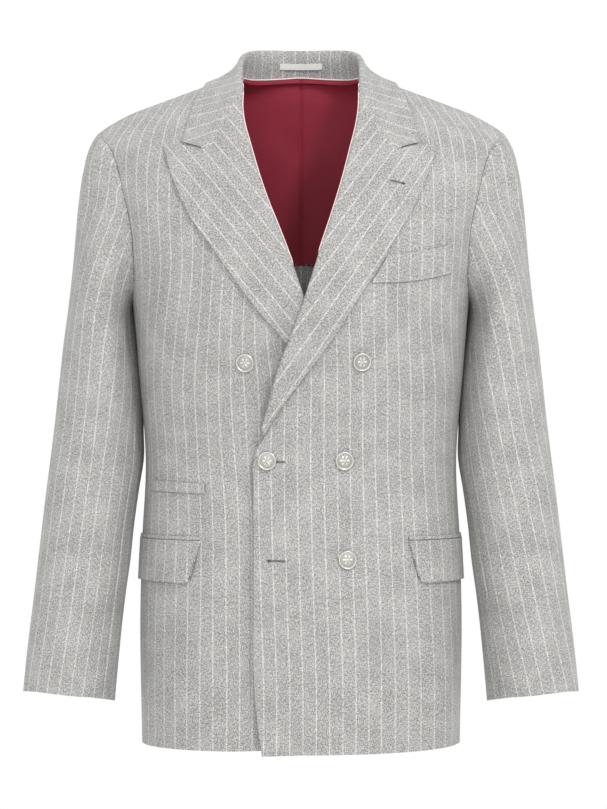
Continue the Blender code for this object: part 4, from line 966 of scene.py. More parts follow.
def stripe_uv(number, along):
    """Cloth coordinates from the running stripe number and the length along the stripes."""
    return np.stack([number * sizes().stripe_gap / MM, along], axis=-1)


def front_uv(table, g, t):
    """Cloth coordinates of a front."""
    return stripe_uv(stripe_number(table, g, t), t)


def plain_uv(g, t, back, start):
    """Cloth coordinates of a panel whose stripes run parallel to its middle."""
    return stripe_uv((arc_length(g, t, back) - start) / STRIPE_GAP, t)


# ---------------------------------------------------------------- materials
def colour(text):
    """Linear colour of an sRGB hex value."""
    parts = [int(text[k:k + 2], 16) / 255 for k in (1, 3, 5)]
    return tuple(c / 12.92 if c <= 0.04045 else ((c + 0.055) / 1.055) ** 2.4 for c in parts) + (1.0,)


def add(tree, kind, settings=None, **links):
    """Adds a node, sets its properties and sockets, and links what is given by socket name."""
    node = tree.nodes.new(kind)
    for key, value in (settings or {}).items():
        if hasattr(node, key):
            setattr(node, key, value)
        else:
            node.inputs[int(key) if key.isdigit() else key].default_value = value
    for key, source in links.items():
        name = key.replace("_", " ")
        socket = node.inputs[int(key[1:])] if key[0] == "n" and key[1:].isdigit() else node.inputs[name]
        tree.links.new(source, socket)
    return node


def begin(name, **settings):
    """A new material and its shader."""
    made = bpy.data.materials.new(name)
    made.use_nodes = True
    shader = made.node_tree.nodes["Principled BSDF"]
    for key, value in settings.items():
        shader.inputs[key.replace("_", " ")].default_value = value
    return made, made.node_tree, shader


def speckle(tree, source, x, y, detail=2.0, rough=0.6):
    """Noise with so many grains a metre each way, from 0 to 1."""
    where = add(tree, "ShaderNodeVectorMath", {"operation": "MULTIPLY", "1": (x, y, (x + y) / 2)},
                n0=source).outputs[0]
    return add(tree, "ShaderNodeTexNoise", {"Scale": 1.0, "Detail": detail, "Roughness": rough},
               Vector=where).outputs[0]


def maths(tree, operation, a, b=None):
    """One sum on sockets or numbers."""
    node = tree.nodes.new("ShaderNodeMath")
    node.operation = operation
    for socket, value in zip(node.inputs, (a, b)):
        if value is None:
            continue
        if isinstance(value, (int, float)):
            socket.default_value = value
        else:
            tree.links.new(value, socket)
    return node.outputs[0]


def blend_colour(tree, share, low, high):
    """Mix of two colours, each a socket or a linear colour."""
    node = tree.nodes.new("ShaderNodeMix")
    node.data_type = "RGBA"
    for socket, value in zip((node.inputs[0], node.inputs[6], node.inputs[7]), (share, low, high)):
        if isinstance(value, (tuple, float)):
            socket.default_value = value
        else:
            tree.links.new(value, socket)
    return node.outputs[2]


def ranged(tree, value, low, high, first=0.0, last=1.0, way="LINEAR"):
    """A value stretched from low and high to first and last."""
    return add(tree, "ShaderNodeMapRange", {"interpolation_type": way, "1": low, "2": high, "3": first,
               "4": last}, Value=value).outputs[0]


def own_grain(tree, scale, detail):
    """Noise in the piece's own coordinates."""
    where = add(tree, "ShaderNodeTexCoord").outputs[3]
    return add(tree, "ShaderNodeTexNoise", {"Scale": scale, "Detail": detail}, Vector=where).outputs[0]


def cloth_place(tree):
    """The cloth's coordinates: across the stripes and along them, in metres."""
    return add(tree, "ShaderNodeUVMap", {"uv_map": "cloth"}).outputs[0]


def joined(made, tree, shader, face, height, strength, distance):
    """The material once its colour and its bump are joined to the shader."""
    tree.links.new(face, shader.inputs["Base Color"])
    bump = add(tree, "ShaderNodeBump", {"Strength": strength, "Distance": distance}, Height=height)
    tree.links.new(bump.outputs[0], shader.inputs["Normal"])
    return made


def flannel_material(name):
    """Milled wool flannel: a felted mottle of light and dark fibres with a fuzzy chalk stripe.

    Fibre clumps are really 0.3 to 0.6 mm; the mottle is drawn at about 1 mm so that it shows."""
    made, tree, shader = begin(name, Roughness=0.95, Sheen_Weight=0.15, Sheen_Roughness=0.5,
                               Specular_IOR_Level=0.1)
    kit = sizes()
    cloth_uv = cloth_place(tree)
    fine = speckle(tree, cloth_uv, 780, 700, 3.0, 0.75)
    warp = speckle(tree, cloth_uv, 1000, 300, 2.0, 0.65)
    weft = speckle(tree, cloth_uv, 320, 1000, 2.0, 0.65)
    cloud = speckle(tree, cloth_uv, 30, 30, 4.0, 0.6)
    mottle = maths(tree, "MULTIPLY", fine, 0.52)
    for part, share in ((warp, 0.22), (weft, 0.16), (cloud, 0.09)):
        mottle = maths(tree, "ADD", mottle, maths(tree, "MULTIPLY", part, share))
    spread = ranged(tree, mottle, 0.5 - kit.mottle, 0.5 + kit.mottle)
    ground = blend_colour(tree, spread, colour(kit.fibre_dark), colour(kit.fibre_light))
    speck = ranged(tree, speckle(tree, cloth_uv, 900, 760, 2.0, 0.8), 0.58, 0.67, 0.0, 0.65)
    ground = blend_colour(tree, speck, ground, colour("#565452"))
    wander = maths(tree, "SUBTRACT", speckle(tree, cloth_uv, 420, 300), 0.5)
    wander = maths(tree, "MULTIPLY", wander, 0.0016)
    across = add(tree, "ShaderNodeSeparateXYZ", n0=cloth_uv).outputs[0]
    place = maths(tree, "DIVIDE", maths(tree, "ADD", across, wander), kit.stripe_gap)
    off = maths(tree, "SUBTRACT", maths(tree, "FRACT", maths(tree, "ADD", place, 100.5)), 0.5)
    off = maths(tree, "MULTIPLY", maths(tree, "ABSOLUTE", off), kit.stripe_gap)
    half = kit.stripe_width / 2
    mask = ranged(tree, off, half * 0.3, half * 1.7, 1.0, 0.0, "SMOOTHSTEP")
    broken = ranged(tree, speckle(tree, cloth_uv, 300, 420, 3.0, 0.75), 0.38, 0.60, 0.08, 1.0)
    chalk = maths(tree, "MULTIPLY", mask, broken)
    face = blend_colour(tree, maths(tree, "MULTIPLY", chalk, kit.stripe_strength), ground,
                        colour(kit.chalk))
    nap = maths(tree, "ADD", fine, maths(tree, "MULTIPLY", chalk, 0.4))
    return joined(made, tree, shader, face, nap, 0.6, 0.0006)


def satin_material():
    """Acetate satin lining: smooth warp floats, so a soft sheen with faint cross threads."""
    made, tree, shader = begin("satin_burgundy", Roughness=0.5, Specular_IOR_Level=0.12)
    cloth_uv = cloth_place(tree)
    thread = speckle(tree, cloth_uv, 1600, 260, 2.0, 0.5)
    cloud = speckle(tree, cloth_uv, 22, 9, 2.0, 0.5)
    thread_share = maths(tree, "MULTIPLY", thread, 0.45)
    cloud_share = maths(tree, "MULTIPLY", cloud, 0.55)
    share = maths(tree, "ADD", thread_share, cloud_share)
    share = ranged(tree, share, 0.35, 0.65)
    kit = sizes()
    face = blend_colour(tree, share, colour(kit.lining_dark), colour(kit.lining_light))
    return joined(made, tree, shader, face, thread, 0.25, 0.0002)


def tape_material():
    """Woven satin tape: light grey, with fine cross ribs 0.5 mm apart."""
    made, tree, shader = begin("satin_tape_grey", Roughness=0.5, Specular_IOR_Level=0.35)
    cloth_uv = cloth_place(tree)
    across = add(tree, "ShaderNodeSeparateXYZ", n0=cloth_uv).outputs[0]
    rib = maths(tree, "SINE", maths(tree, "MULTIPLY", across, 2 * math.pi / 0.0005))
    grain = speckle(tree, cloth_uv, 900, 400)
    face = blend_colour(tree, grain, colour("#c9c9c5"), colour("#dededa"))
    return joined(made, tree, shader, face, rib, 0.4, 0.0001)


def thread_material(name, tone):
    """Twisted sewing thread or cord, silk or cotton: soft sheen, small changes of tone along it."""
    made, tree, shader = begin(name, Roughness=0.6, Specular_IOR_Level=0.3)
    grain = own_grain(tree, 1400.0, 2.0)
    light = tuple(min(1.0, c * 1.35) for c in colour(tone)[:3]) + (1.0,)
    face = blend_colour(tree, grain, colour(tone), light)
    return joined(made, tree, shader, face, grain, 0.4, 0.0001)


def metal_material():
    """Stamped, silver-plated brass: bright high spots, dark tarnish left in the recesses."""
    made, tree, shader = begin("silver_plated_brass", Metallic=1.0, Roughness=0.34)
    deep = add(tree, "ShaderNodeAttribute", {"attribute_name": "recess"}).outputs[2]
    grain = own_grain(tree, 900.0, 3.0)
    tarnish = maths(tree, "MULTIPLY", deep, maths(tree, "ADD", grain, 0.45))
    face = blend_colour(tree, tarnish, colour("#dfded9"), colour("#918e88"))
    tree.links.new(ranged(tree, tarnish, 0.0, 1.0, 0.3, 0.5), shader.inputs["Roughness"])
    return joined(made, tree, shader, face, grain, 0.2, 0.0001)


# the material's name and tone of each thread and cord
THREADS = {
    "thread": ("silk_thread_grey", "#777572"),            # silk twist in the buttonholes
    "seam_thread_and_shadow": ("cotton_thread_painted_seam_shadow", "#4b4947"),     # cotton in the armhole seams, dark as a painted shadow line along them
    "pale_cord_and_painted_highlight": ("silk_cord_pale", "#e6cdc8"),           # satin-covered cord at edges and neck
    "lining_thread": ("silk_thread_rose", "#c58f92"),     # pale cord: a painted highlight along the roll edges, and the piping at the neck
    "seam_silk": ("silk_thread_burgundy", "#551a24"),     # silk in the lining's middle seam
    "slit": ("cut_slit_shadow", "#2a2826"),               # painted shadow: a dark core standing for the shade inside a buttonhole's cut
}
MADE = {}


def surface(name):
    """The material of that name, made once."""
    makers = {
        "flannel": lambda: flannel_material("wool_flannel_chalk_stripe"),
        "satin": satin_material,
        "tape": tape_material,
        "metal": metal_material,
    }
    if name not in MADE:
        MADE[name] = makers[name]() if name in makers else thread_material(*THREADS[name])
    return MADE[name]


# ---------------------------------------------------------------- properties
class BlazerSizes(bpy.types.PropertyGroup):
    """Sizes and colours a maker would change."""
    stripe_gap: bpy.props.FloatProperty(
        name="Stripe gap", description="From one chalk stripe to the next", default=0.0142,
        min=0.005, max=0.05, precision=4, unit="LENGTH")
    stripe_width: bpy.props.FloatProperty(
        name="Stripe width", description="Width of a chalk stripe", default=0.00135, min=0.0005,
        max=0.01, precision=4, unit="LENGTH")
    stripe_strength: bpy.props.FloatProperty(
        name="Stripe strength", description="How strongly the chalk covers the ground", default=0.5,
        min=0.0, max=1.0, subtype="FACTOR")
    mottle: bpy.props.FloatProperty(
        name="Mottle", description="Smaller gives a stronger mottle of the fibres", default=0.06,
        min=0.02, max=0.3)
    cloth_step: bpy.props.FloatProperty(
        name="Mesh step", description="Largest face of the body and sleeves", default=0.004,
        min=0.002, max=0.02, precision=4, unit="LENGTH")
    button_size: bpy.props.FloatProperty(
        name="Button", description="Diameter of a front button", default=0.020, min=0.012,
        max=0.03, precision=4, unit="LENGTH")
    fibre_dark: bpy.props.StringProperty(
        name="Dark fibre", description="Darker fibres of the flannel, sRGB", default="#767573")
    fibre_light: bpy.props.StringProperty(
        name="Light fibre", description="Lighter fibres of the flannel, sRGB", default="#c3c2c0")
    chalk: bpy.props.StringProperty(
        name="Chalk", description="Chalk stripe, sRGB", default="#efeeea")
    lining_dark: bpy.props.StringProperty(
        name="Lining dark", description="Darker threads of the lining, sRGB", default="#8c2a3a")
    lining_light: bpy.props.StringProperty(
        name="Lining light", description="Lighter threads of the lining, sRGB", default="#9b3444")


def sizes():
    """The maker's settings."""
    return bpy.context.scene.blazer_sizes


# ---------------------------------------------------------------- pieces
RING_G, RING_T = armhole()
HALF = SEAM_GAP / 2
ARM_REST = 2.6           # how far the inside of the arm leans on the body
CUFF_RISE = 5.0          # how much shorter the front of the cuff hangs
SIDE_SHARE = 0.7         # how fast stripes pass round the outer side of the sleeve
LOOP_FORWARD = 1.3       # how far the hanging loop bows out from the stand
LINING_TOP = 4.4         # how far the lining reaches up over the foot of the stand
EDGE_LIFT = 1.5          # how far the lapels' free edges stand off the cloth
SHADE_STEP = 4.2         # how much deeper the under-front falls back beside the over-front


def body_piece(name, place, sides, uv, on, pressed=None, mirror=False, **trims):
    """A dense body panel from the coarse (g, t) lines of its cut."""
    g, t = place
    step = sizes().cloth_step / MM
    g, t, _ = dense_places(g, t, t * 0, step)
    grid, n = body_wall(g, t, pressed)
    grid = trimmed(grid, **trims)
    sink = seam_dip(grid, sides)
    if pressed is not None:
        gap = -grid[..., 0] - pressed(grid[..., 2])
        low = smooth_step((-270 - grid[..., 2]) / 60)
        sink = sink + SHADE_STEP * smooth_step((gap + 34) / 34) * low
    grid = grid - n * sink[..., None]
    return cloth(name + "_cloth", grid, uv(g, t), CLOTH, surface("flannel"), name,
                 mirror)


class BLAZER_OT_body(bpy.types.Operator):
    """Lay the two fronts, the side panels and the backs"""
    bl_idname = "blazer.body"
    bl_label = "Body panels"

    def execute(self, context):
        body_piece("front_left", front_panel(OVER_EDGE, RING_G, RING_T, OVER_HEM), "rt",
                   lambda g, t: front_uv(STRIPES_LEFT, g, t), ["back_left"], end=HALF, right=HALF)
        body_piece("front_right", front_panel(UNDER_EDGE, RING_G, RING_T), "rt",
                   lambda g, t: front_uv(STRIPES_RIGHT, g, t), ["back_right"], OVER_EDGE, True,
                   end=HALF, right=HALF)
        for side, flip in SIDES:
            body_piece("side_" + side, side_panel(RING_G, RING_T), "lrt",
                       lambda g, t: plain_uv(g, t, False, 7.0), ["front_" + side], None, flip,
                       end=HALF, left=HALF, right=HALF)
            body_piece("back_" + side, back_panel(RING_G, RING_T), "lrt",
                       lambda g, t: plain_uv(g, t, True, 7.1), ["collar"], None, flip,
                       end=HALF, left=HALF, right=HALF)
        return {"FINISHED"}


# running stripe number on the lapels, from 1, x, z, xx, xz, zz in 100 mm of the front view
LAPEL_OVER_STRIPES = (-11.054, 5.511, -4.831, 0.345, 0.146, -0.198)
LAPEL_UNDER_STRIPES = (-11.866, 5.482, -4.395, 0.0, 0.0, 0.0)


def lapel_piece(side, roll, edge, stripes, mirror):
    """A turned lapel; its stripes run straight down from the peak to the break."""
    coarse = lapel(roll, edge, under=mirror)
    lifted = coarse.copy()
    lifted[:-1, -1, 1] -= EDGE_LIFT
    grid = refine(lifted, 3.0, soft=True)[0]
    x, z = grid[..., 0] / 100, grid[..., 2] / 100
    number = sum(k * part for k, part in zip(stripes, (1, x, z, x * x, x * z, z * z)))
    down = grid[..., 0] * 0.58 + grid[..., 2] * 0.81
    uv = stripe_uv(number, down)
    cloth("lapel_" + side + "_cloth", grid, uv, LAPEL_CLOTH, surface("flannel"), "lapel_" + side,
          mirror, rim=0.5)
    return coarse


def beyond(grid, shared, reach, sink):
    """A row past the last one, tucked under the lapel along the columns that both share."""
    last, before = grid[-1], grid[-2]
    way = last - before
    way /= np.linalg.norm(way, axis=1, keepdims=True)
    n = sheet_normals(grid)[-1]
    n = n * np.where(n[:, 1:2] > 0, -1.0, 1.0)
    far = np.full(len(last), 0.15)
    far[:shared] = reach
    return last + way * far[:, None] - n * (sink * far / reach)[:, None]


def roll_run(points, line, run):
    """Running length of the nearest point of the roll line, for each point."""
    flat = points.reshape(-1, 3)
    out = np.empty(len(flat))
    for k in range(0, len(flat), 400):
        near = np.linalg.norm(flat[k:k + 400, None] - line[None], axis=-1).argmin(axis=1)
        out[k:k + 400] = run[near]
        step = np.clip(near, 1, len(line) - 2)
        way = line[step + 1] - line[step - 1]
        way /= np.linalg.norm(way, axis=1, keepdims=True)
        out[k:k + 400] += np.sum((flat[k:k + 400] - line[near]) * way, axis=1)
    return out.reshape(points.shape[:-1])


COLLAR_STEP = 2.4              # spacing of the collar's dense sheet
COLLAR_TUCK = (1.6, 0.7)       # how its two ends run on beneath the lapels
# pale cords along the lapel and collar rolls: a painted highlight on the rolled edges
CORD_R = 0.6
CORD_BESIDE = (1.5, 0.9)       # from the roll's edge toward the middle, and back
CORD_TUCK = (1.8, 1.2)         # the cord's lower end, out and back under the lapel
CORD_TOP = -9.0                # the cord starts on the collar below this height
CORD_LOW = LINING_FOOT - 22    # and runs down the lapel to this one


class BLAZER_OT_lapels(bpy.types.Operator):
    """Turn the peak lapels and the collar, and lay the pale cords, a painted highlight on the rolled
    edges, along their rolls
    """
    bl_idname = "blazer.lapels"
    bl_label = "Lapels and collar"

    def execute(self, context):
        over = lapel_piece("left", ROLL_OVER, EDGE_OVER, LAPEL_OVER_STRIPES, False)
        under = lapel_piece("right", ROLL_UNDER, EDGE_UNDER, LAPEL_UNDER_STRIPES, True)
        shared = FOLD_STEPS + 1 + GORGE_COLUMNS
        grid = collar(over[-1] - MITRE)
        grid[0, :shared] = under[-1, :shared] * MIRROR
        grid[1:-1, -1] += np.array([0.0, -0.45, 0.3]) * np.clip(-grid[1:-1, -1, 1:2] / 40, -1, 1)
        top = 1 + FOLD_STEPS
        line = np.concatenate([under[:-1, top] * MIRROR, grid[:, top], over[-2::-1, top]])
        line = resample(line, 1200)
        run = lengths(line)
        run = run - run[np.argmin(np.abs(line[:, 0]) + np.maximum(-line[:, 1], 0))]
        grid = np.concatenate([grid, beyond(grid, shared, *COLLAR_TUCK)[None]])
        grid = np.concatenate([beyond(grid[::-1], shared, *COLLAR_TUCK)[None], grid])
        across = np.array([lengths(row) for row in grid])
        dense = refine(np.dstack([grid, across]).transpose(1, 0, 2), COLLAR_STEP)[0]
        points = dense[..., :3]
        arc = roll_run(points, line, run)
        uv = stripe_uv((arc - COLLAR_STRIPES[0]) / COLLAR_STRIPES[1], dense[..., 3])
        cloth("collar_cloth", points[::-1], uv[::-1], COLLAR_CLOTH, surface("flannel"), "collar",
              rim=0.5)
        edge = 1 + FOLD_STEPS // 2
        # each roll's pale cord, a painted highlight along the rolled edge
        for side, lap, turn in (("left", over, 1.0), ("right", under, -1.0)):
            ring = collar(over[-1])[HALF_STEPS:, edge]
            ring = ring[ring[:, 2] < CORD_TOP]
            path = np.concatenate([lap[:, edge][lap[:, edge, 2] > CORD_LOW], ring[-2::-1]])
            path = resample(path, 120) * np.array([turn, 1.0, 1.0])
            path = path + np.array([-CORD_BESIDE[0] * turn, CORD_BESIDE[1], 0.0])
            tuck = np.array([CORD_TUCK[0] * turn, CORD_TUCK[1], 0.0])
            path[:5] += tuck * np.linspace(1, 0, 5)[:, None]
            tube("edge_painted_highlight_cord_" + side, path, CORD_R, "pale_cord_and_painted_highlight")
        return {"FINISHED"}


# the first stripe's place beside the sleeve's outer line, the gap, and the stripes' turn per 100 mm
SLEEVE_STRIPES = {"left": (-5.25, 13.6, -0.95), "right": (-4.95, 12.6, -0.45)}
CAP_TURN = 2.0           # stripes per 100 mm that they turn back over the cap
SEAM_STAND = 0.1         # how far the sleeve's first row stands off the armhole seam
THREAD_SINK = 0.5        # how far below the cloth's face the seam's thread, a painted shadow line, lies


class BLAZER_OT_sleeves(bpy.types.Operator):
    """Hang the two-piece sleeves"""
    bl_idname = "blazer.sleeves"
    bl_label = "Sleeves"

    def execute(self, context):
        rings = sleeve_rings(RING_G, RING_T)
        seam = form(RING_G, RING_T) - normal(RING_G, RING_T) * CLOTH / 2
        way = rings[0] - seam
        way /= np.linalg.norm(way, axis=1, keepdims=True)
        rings = np.concatenate([(seam + way * SEAM_STAND)[None], rings])
        total, pad = rings.shape[1], 2
        front_seam, back_seam = FRONT_STEPS + 1, FRONT_STEPS + UNDER_STEPS + 3
        spans = (("top_sleeve_", back_seam - total, front_seam),
                 ("under_sleeve_", front_seam, back_seam))
        step = sizes().cloth_step / MM
        for name, first, last in spans:
            index = np.arange(first - pad, last + pad + 1)
            around, down = sleeve_lengths(rings, index)
            coarse = np.dstack([rings[:, index % total], around, down])
            dense, _, cols = refine(coarse, step, soft=False)
            keep = (cols >= pad - 1e-6) & (cols <= pad + last - first + 1e-6)
            places_c = soften(np.arange(keep.sum(), dtype=float))
            part = dense[:, keep]
            part = along_rows(part.transpose(1, 0, 2), places_c).transpose(1, 0, 2)
            part = along_rows(part, soften(np.arange(len(part), dtype=float)))
            grid, u, v = trimmed(part[..., :3], left=HALF, right=HALF), part[..., 3], part[..., 4]
            n = sheet_normals(grid)
            out = grid - grid.mean(axis=1, keepdims=True)
            if np.sum(n * out) < 0:
                n = -n
            ahead = np.clip((-118 - grid[..., 1]) / 43, 0, 1) * smooth_step((-630 - grid[..., 2]) / 60)
            grid[..., 2] += CUFF_RISE * ahead
            near = smooth_step((-n[..., 0] - 0.2) / 0.6) * smooth_step((-225 - grid[..., 2]) / 45)
            near = near * smooth_step((grid[..., 2] + 410) / 60)
            grid = grid + n * (ARM_REST * near)[..., None]
            grid = grid + n * (sleeve_folds(grid) - seam_dip(grid, "lrb", 0.75, 1.6))[..., None]
            for side, flip in SIDES:
                start, gap, turn = SLEEVE_STRIPES[side]
                number = (u - start) / gap + turn * (v + 150) / 100
                cap = np.maximum(grid[..., 2] + 150, 0) / 100 * np.clip(u / 15, -1, 1)
                number = number + CAP_TURN * cap
                uv = stripe_uv(number, v)
                cloth(name + side + "_cloth", grid[::-1], uv[::-1], CLOTH, surface("flannel"),
                      name + side, flip)
        # a dark thread in each armhole seam: the seam's own thread, and a painted shadow line that
        # thickens lower down where the shade is darker
        seam = form(RING_G, RING_T) - normal(RING_G, RING_T) * THREAD_SINK
        pull = 0.22 + 0.28 * smooth_step((-95 - seam[:, 2]) / 60)
        for side, flip in SIDES:
            tube("armhole_seam_painted_shadow_" + side, seam * MIRROR if flip else seam, pull, "seam_thread_and_shadow",
                 closed=True, up=(1.0, 0.0, 0.0))
        return {"FINISHED"}


def sleeve_lengths(rings, index):
    """Lengths on the sleeve: around it at each level, from its outer line, and down it."""
    total = rings.shape[1]
    z = rings[..., 2]
    levels = np.linspace(z.min(), z.max(), 300)
    line = np.empty((total, len(levels), 2))
    for c in range(total):
        order = np.argsort(z[:, c])
        for k in range(2):
            line[c, :, k] = np.interp(levels, z[order, c], rings[order, c, k])
    arcs = {0: np.zeros(len(levels))}
    for way, last in ((1, max(index[-1], 0)), (-1, min(index[0], 0))):
        for k in range(way, last + way, way):
            step = line[k % total] - line[(k - way) % total]
            step = np.hypot(step[:, 0], SIDE_SHARE * step[:, 1])
            arcs[k] = arcs[k - way] + way * step
    around = np.stack([np.interp(z[:, k % total], levels, arcs[k]) for k in index], axis=1)
    steps = np.linalg.norm(np.diff(rings, axis=0), axis=-1)
    down = np.concatenate([np.zeros((1, total)), -np.cumsum(steps, axis=0)])
    return around, (down - down[CAP_ROWS + 1])[:, index % total]


def sleeve_folds(grid):
    """Soft folds of a sleeve, outward: a slack elbow and long shallow hollows."""
    x, y, z = grid[..., 0], grid[..., 1], grid[..., 2]
    fade = smooth_step((-150 - z) / 90) * smooth_step((z + 690) / 90)
    elbow = 1.1 * np.sin((z + 0.55 * (x - 230) * 2.2 + 430) / 17.0) * np.exp(-((z + 440) / 75) ** 2)
    long = 0.9 * np.sin((x - 0.14 * z) / 13.0 + y / 31.0)
    return fade * (elbow * smooth_step((-100 - y) / 60) + long * 0.7)


def on_face(g, t, lift):
    """Points a distance above the body face."""
    return form(g, t) + normal(g, t) * np.asarray(lift)[..., None]


POCKET_STEP = 2.2        # spacing of the pocket pieces' dense sheets


def small_piece(name, g, t, lift, thick, table, mirror):
    """A pocket piece that lies on a front, its stripes matched to it."""
    g, t, lift = dense_places(g, t, lift, POCKET_STEP)
    cloth(name + "_cloth", on_face(g, t, lift), front_uv(table, g, t), thick, surface("flannel"),
          name, mirror, rim=0.3)


class BLAZER_OT_pockets(bpy.types.Operator):
    """Lay the breast and ticket welts, and the jets and flaps of the hip pockets"""
    bl_idname = "blazer.pockets"
    bl_label = "Pockets"

    def execute(self, context):
        lift = 0.75 + WELT_CLOTH / 2
        for name, top, foot, table, side, flip in (
                ("breast_welt", BREAST_WELT_TOP, BREAST_WELT_FOOT, STRIPES_LEFT, "left", False),
                ("ticket_welt", TICKET_WELT_TOP, TICKET_WELT_FOOT, STRIPES_RIGHT, "right", True)):
            lines = [on_front(*resample(line, 12).T) for line in (foot, top)]
            g = np.array([line[0] for line in lines])
            t = np.array([line[1] for line in lines])
            small_piece(name, g, t, np.full(g.shape, lift), WELT_CLOTH, table, flip)
        for side, x, table, flip in (("left", FLAP_FRONT_LEFT, STRIPES_LEFT, False),
                                     ("right", FLAP_FRONT_RIGHT, STRIPES_RIGHT, True)):
            g, t, rise = flap_places(x)
            small_piece("flap_" + side, g, t, rise, FLAP_CLOTH, table, flip)
            at, t0 = pocket_line(x)
            g = np.tile(at(np.linspace(0, FLAP_LENGTH, 16)), (2, 1))
            t = t0 + np.repeat([[SEAM_GAP * 2], [JET_DEPTH]], 16, axis=1)
            small_piece("jet_" + side, g, t, np.full(g.shape, 0.45 + WELT_CLOTH / 2), WELT_CLOTH,
                        table, flip)
        return {"FINISHED"}


def flap_places(x_front):
    """(g, t) and lift of a hip flap: slanted front edge, both lower corners rounded."""
    at, t0 = pocket_line(x_front)
    corner = FLAP_CORNER
    ends = np.array([0.0, corner * 0.08, corner * 0.3, corner * 0.62, corner])
    along = np.concatenate([ends, np.linspace(corner, FLAP_LENGTH - corner, 9)[1:-1],
                            FLAP_LENGTH - ends[::-1]])
    inset = np.maximum(corner - np.minimum(along, FLAP_LENGTH - along), 0)
    rise = corner - np.sqrt(corner ** 2 - inset ** 2)
    g, t, lift = [], [], []
    for share in np.linspace(1, 0, 7):
        g.append(at(along + FLAP_SLANT * share * (1 - along / FLAP_LENGTH)))
        t.append(t0 - share * (FLAP_DEPTH - rise))
        lift.append(np.full(len(along), LAY_GAP - 0.2 + FLAP_CLOTH / 2 + share))
    return np.array(g), np.array(t), np.array(lift)


def lining_places(g, t):
    """(g, t) of one half of the back lining, cut at its foot."""
    foot = float(on_back(0.0, LINING_FOOT)[1])
    keep = t[:, 0] > foot + 8
    lower = np.flatnonzero(~keep)[-1]
    share = (foot - t[lower, 0]) / (t[lower + 1, 0] - t[lower, 0])
    rows = [line[lower] + (line[lower + 1] - line[lower]) * share for line in (g, t)]
    return np.vstack([rows[0], g[keep]]), np.vstack([rows[1], t[keep]])


LINING_STEP = 3.5        # spacing of the lining's dense sheet
LINING_ROWS = 12         # upper rows that ease toward the neck
LINING_EASE = 0.6        # and how far they do
CREASE, CREASE_WIDE = 1.1, 1.7       # depth and width of the dip at the middle seam
LOOP_STEP = 1.5          # spacing of the loop's dense sheet
PIPING_IN, PIPING_UP, PIPING_R = 2.2, 0.9, 0.75
PIN_GAP, PIN_LENGTH, PIN_R = 6.0, 1.6, 0.34
PIN_BACK, PIN_UP = 0.75, 1.3         # where the pin stitches lie beside the lining's lower edge


class BLAZER_OT_lining(bpy.types.Operator):
    """Lay the half lining, its middle seam, the hanging loop, the neck piping and the pin stitches"""
    bl_idname = "blazer.lining"
    bl_label = "Lining and loop"

    def execute(self, context):
        g, t = lining_places(*back_panel(RING_G, RING_T))
        g, t, _ = dense_places(g, t, t * 0, LINING_STEP)
        grid = form(g, t) - normal(g, t) * (CLOTH + LINING_LAY + LINING_CLOTH / 2)
        grid = trimmed(grid, left=LINING_EDGE)
        rise = smooth_step((NECK_SIDE[0] - 5 - grid[-1, :, 0]) / 12)[:, None]
        ramp = smooth_step(np.arange(1, LINING_ROWS + 1) / LINING_ROWS)[:, None]
        grid[-LINING_ROWS:, :, 1] -= LINING_EASE * ramp * rise[:, 0]
        grid = np.concatenate([grid, (grid[-1] + np.array([0.0, 0.0, LINING_TOP]) * rise
                                      - np.array([0.0, 0.0, 0.1]) * (1 - rise))[None]])
        grid[..., 1] += CREASE * np.exp(-(np.maximum(grid[..., 0], 0) / CREASE_WIDE) ** 2)
        middle = grid[:, -1] * np.array([0.0, 1.0, 1.0]) - np.array([0.0, 0.15, 0.0])
        tube("lining_seam", middle, 0.42, "seam_silk", up=(1.0, 0.0, 0.0))
        grid[:, -1, 0] = -0.5
        run = np.array([lengths(row) for row in grid])
        uv = np.dstack([run, np.repeat(grid[:, -1:, 2], grid.shape[1], axis=1)])
        for side, flip in SIDES:
            cloth("lining_" + side + "_satin", grid, uv, LINING_CLOTH, surface("satin"),
                  "lining_" + side, flip, rim=0.25)
        stitches(grid[0])
        over = lapel(ROLL_OVER, EDGE_OVER)
        ring = collar(over[-1])
        tape = hanger_loop(ring)
        run = np.array([lengths(row) for row in tape])
        rise = np.repeat([[0.0], [LOOP_HEIGHT]], tape.shape[1], axis=1)
        dense = refine(np.dstack([tape, run, rise]), LOOP_STEP)[0]
        dense[..., 1] -= LOOP_FORWARD
        dense = dense[::-1]
        cloth("hanger_loop_tape", dense[..., :3], dense[..., 3:5], LINING_CLOTH, surface("tape"),
              "hanger_loop", rim=0.25)
        piping(ring[4:-4, 0])
        return {"FINISHED"}


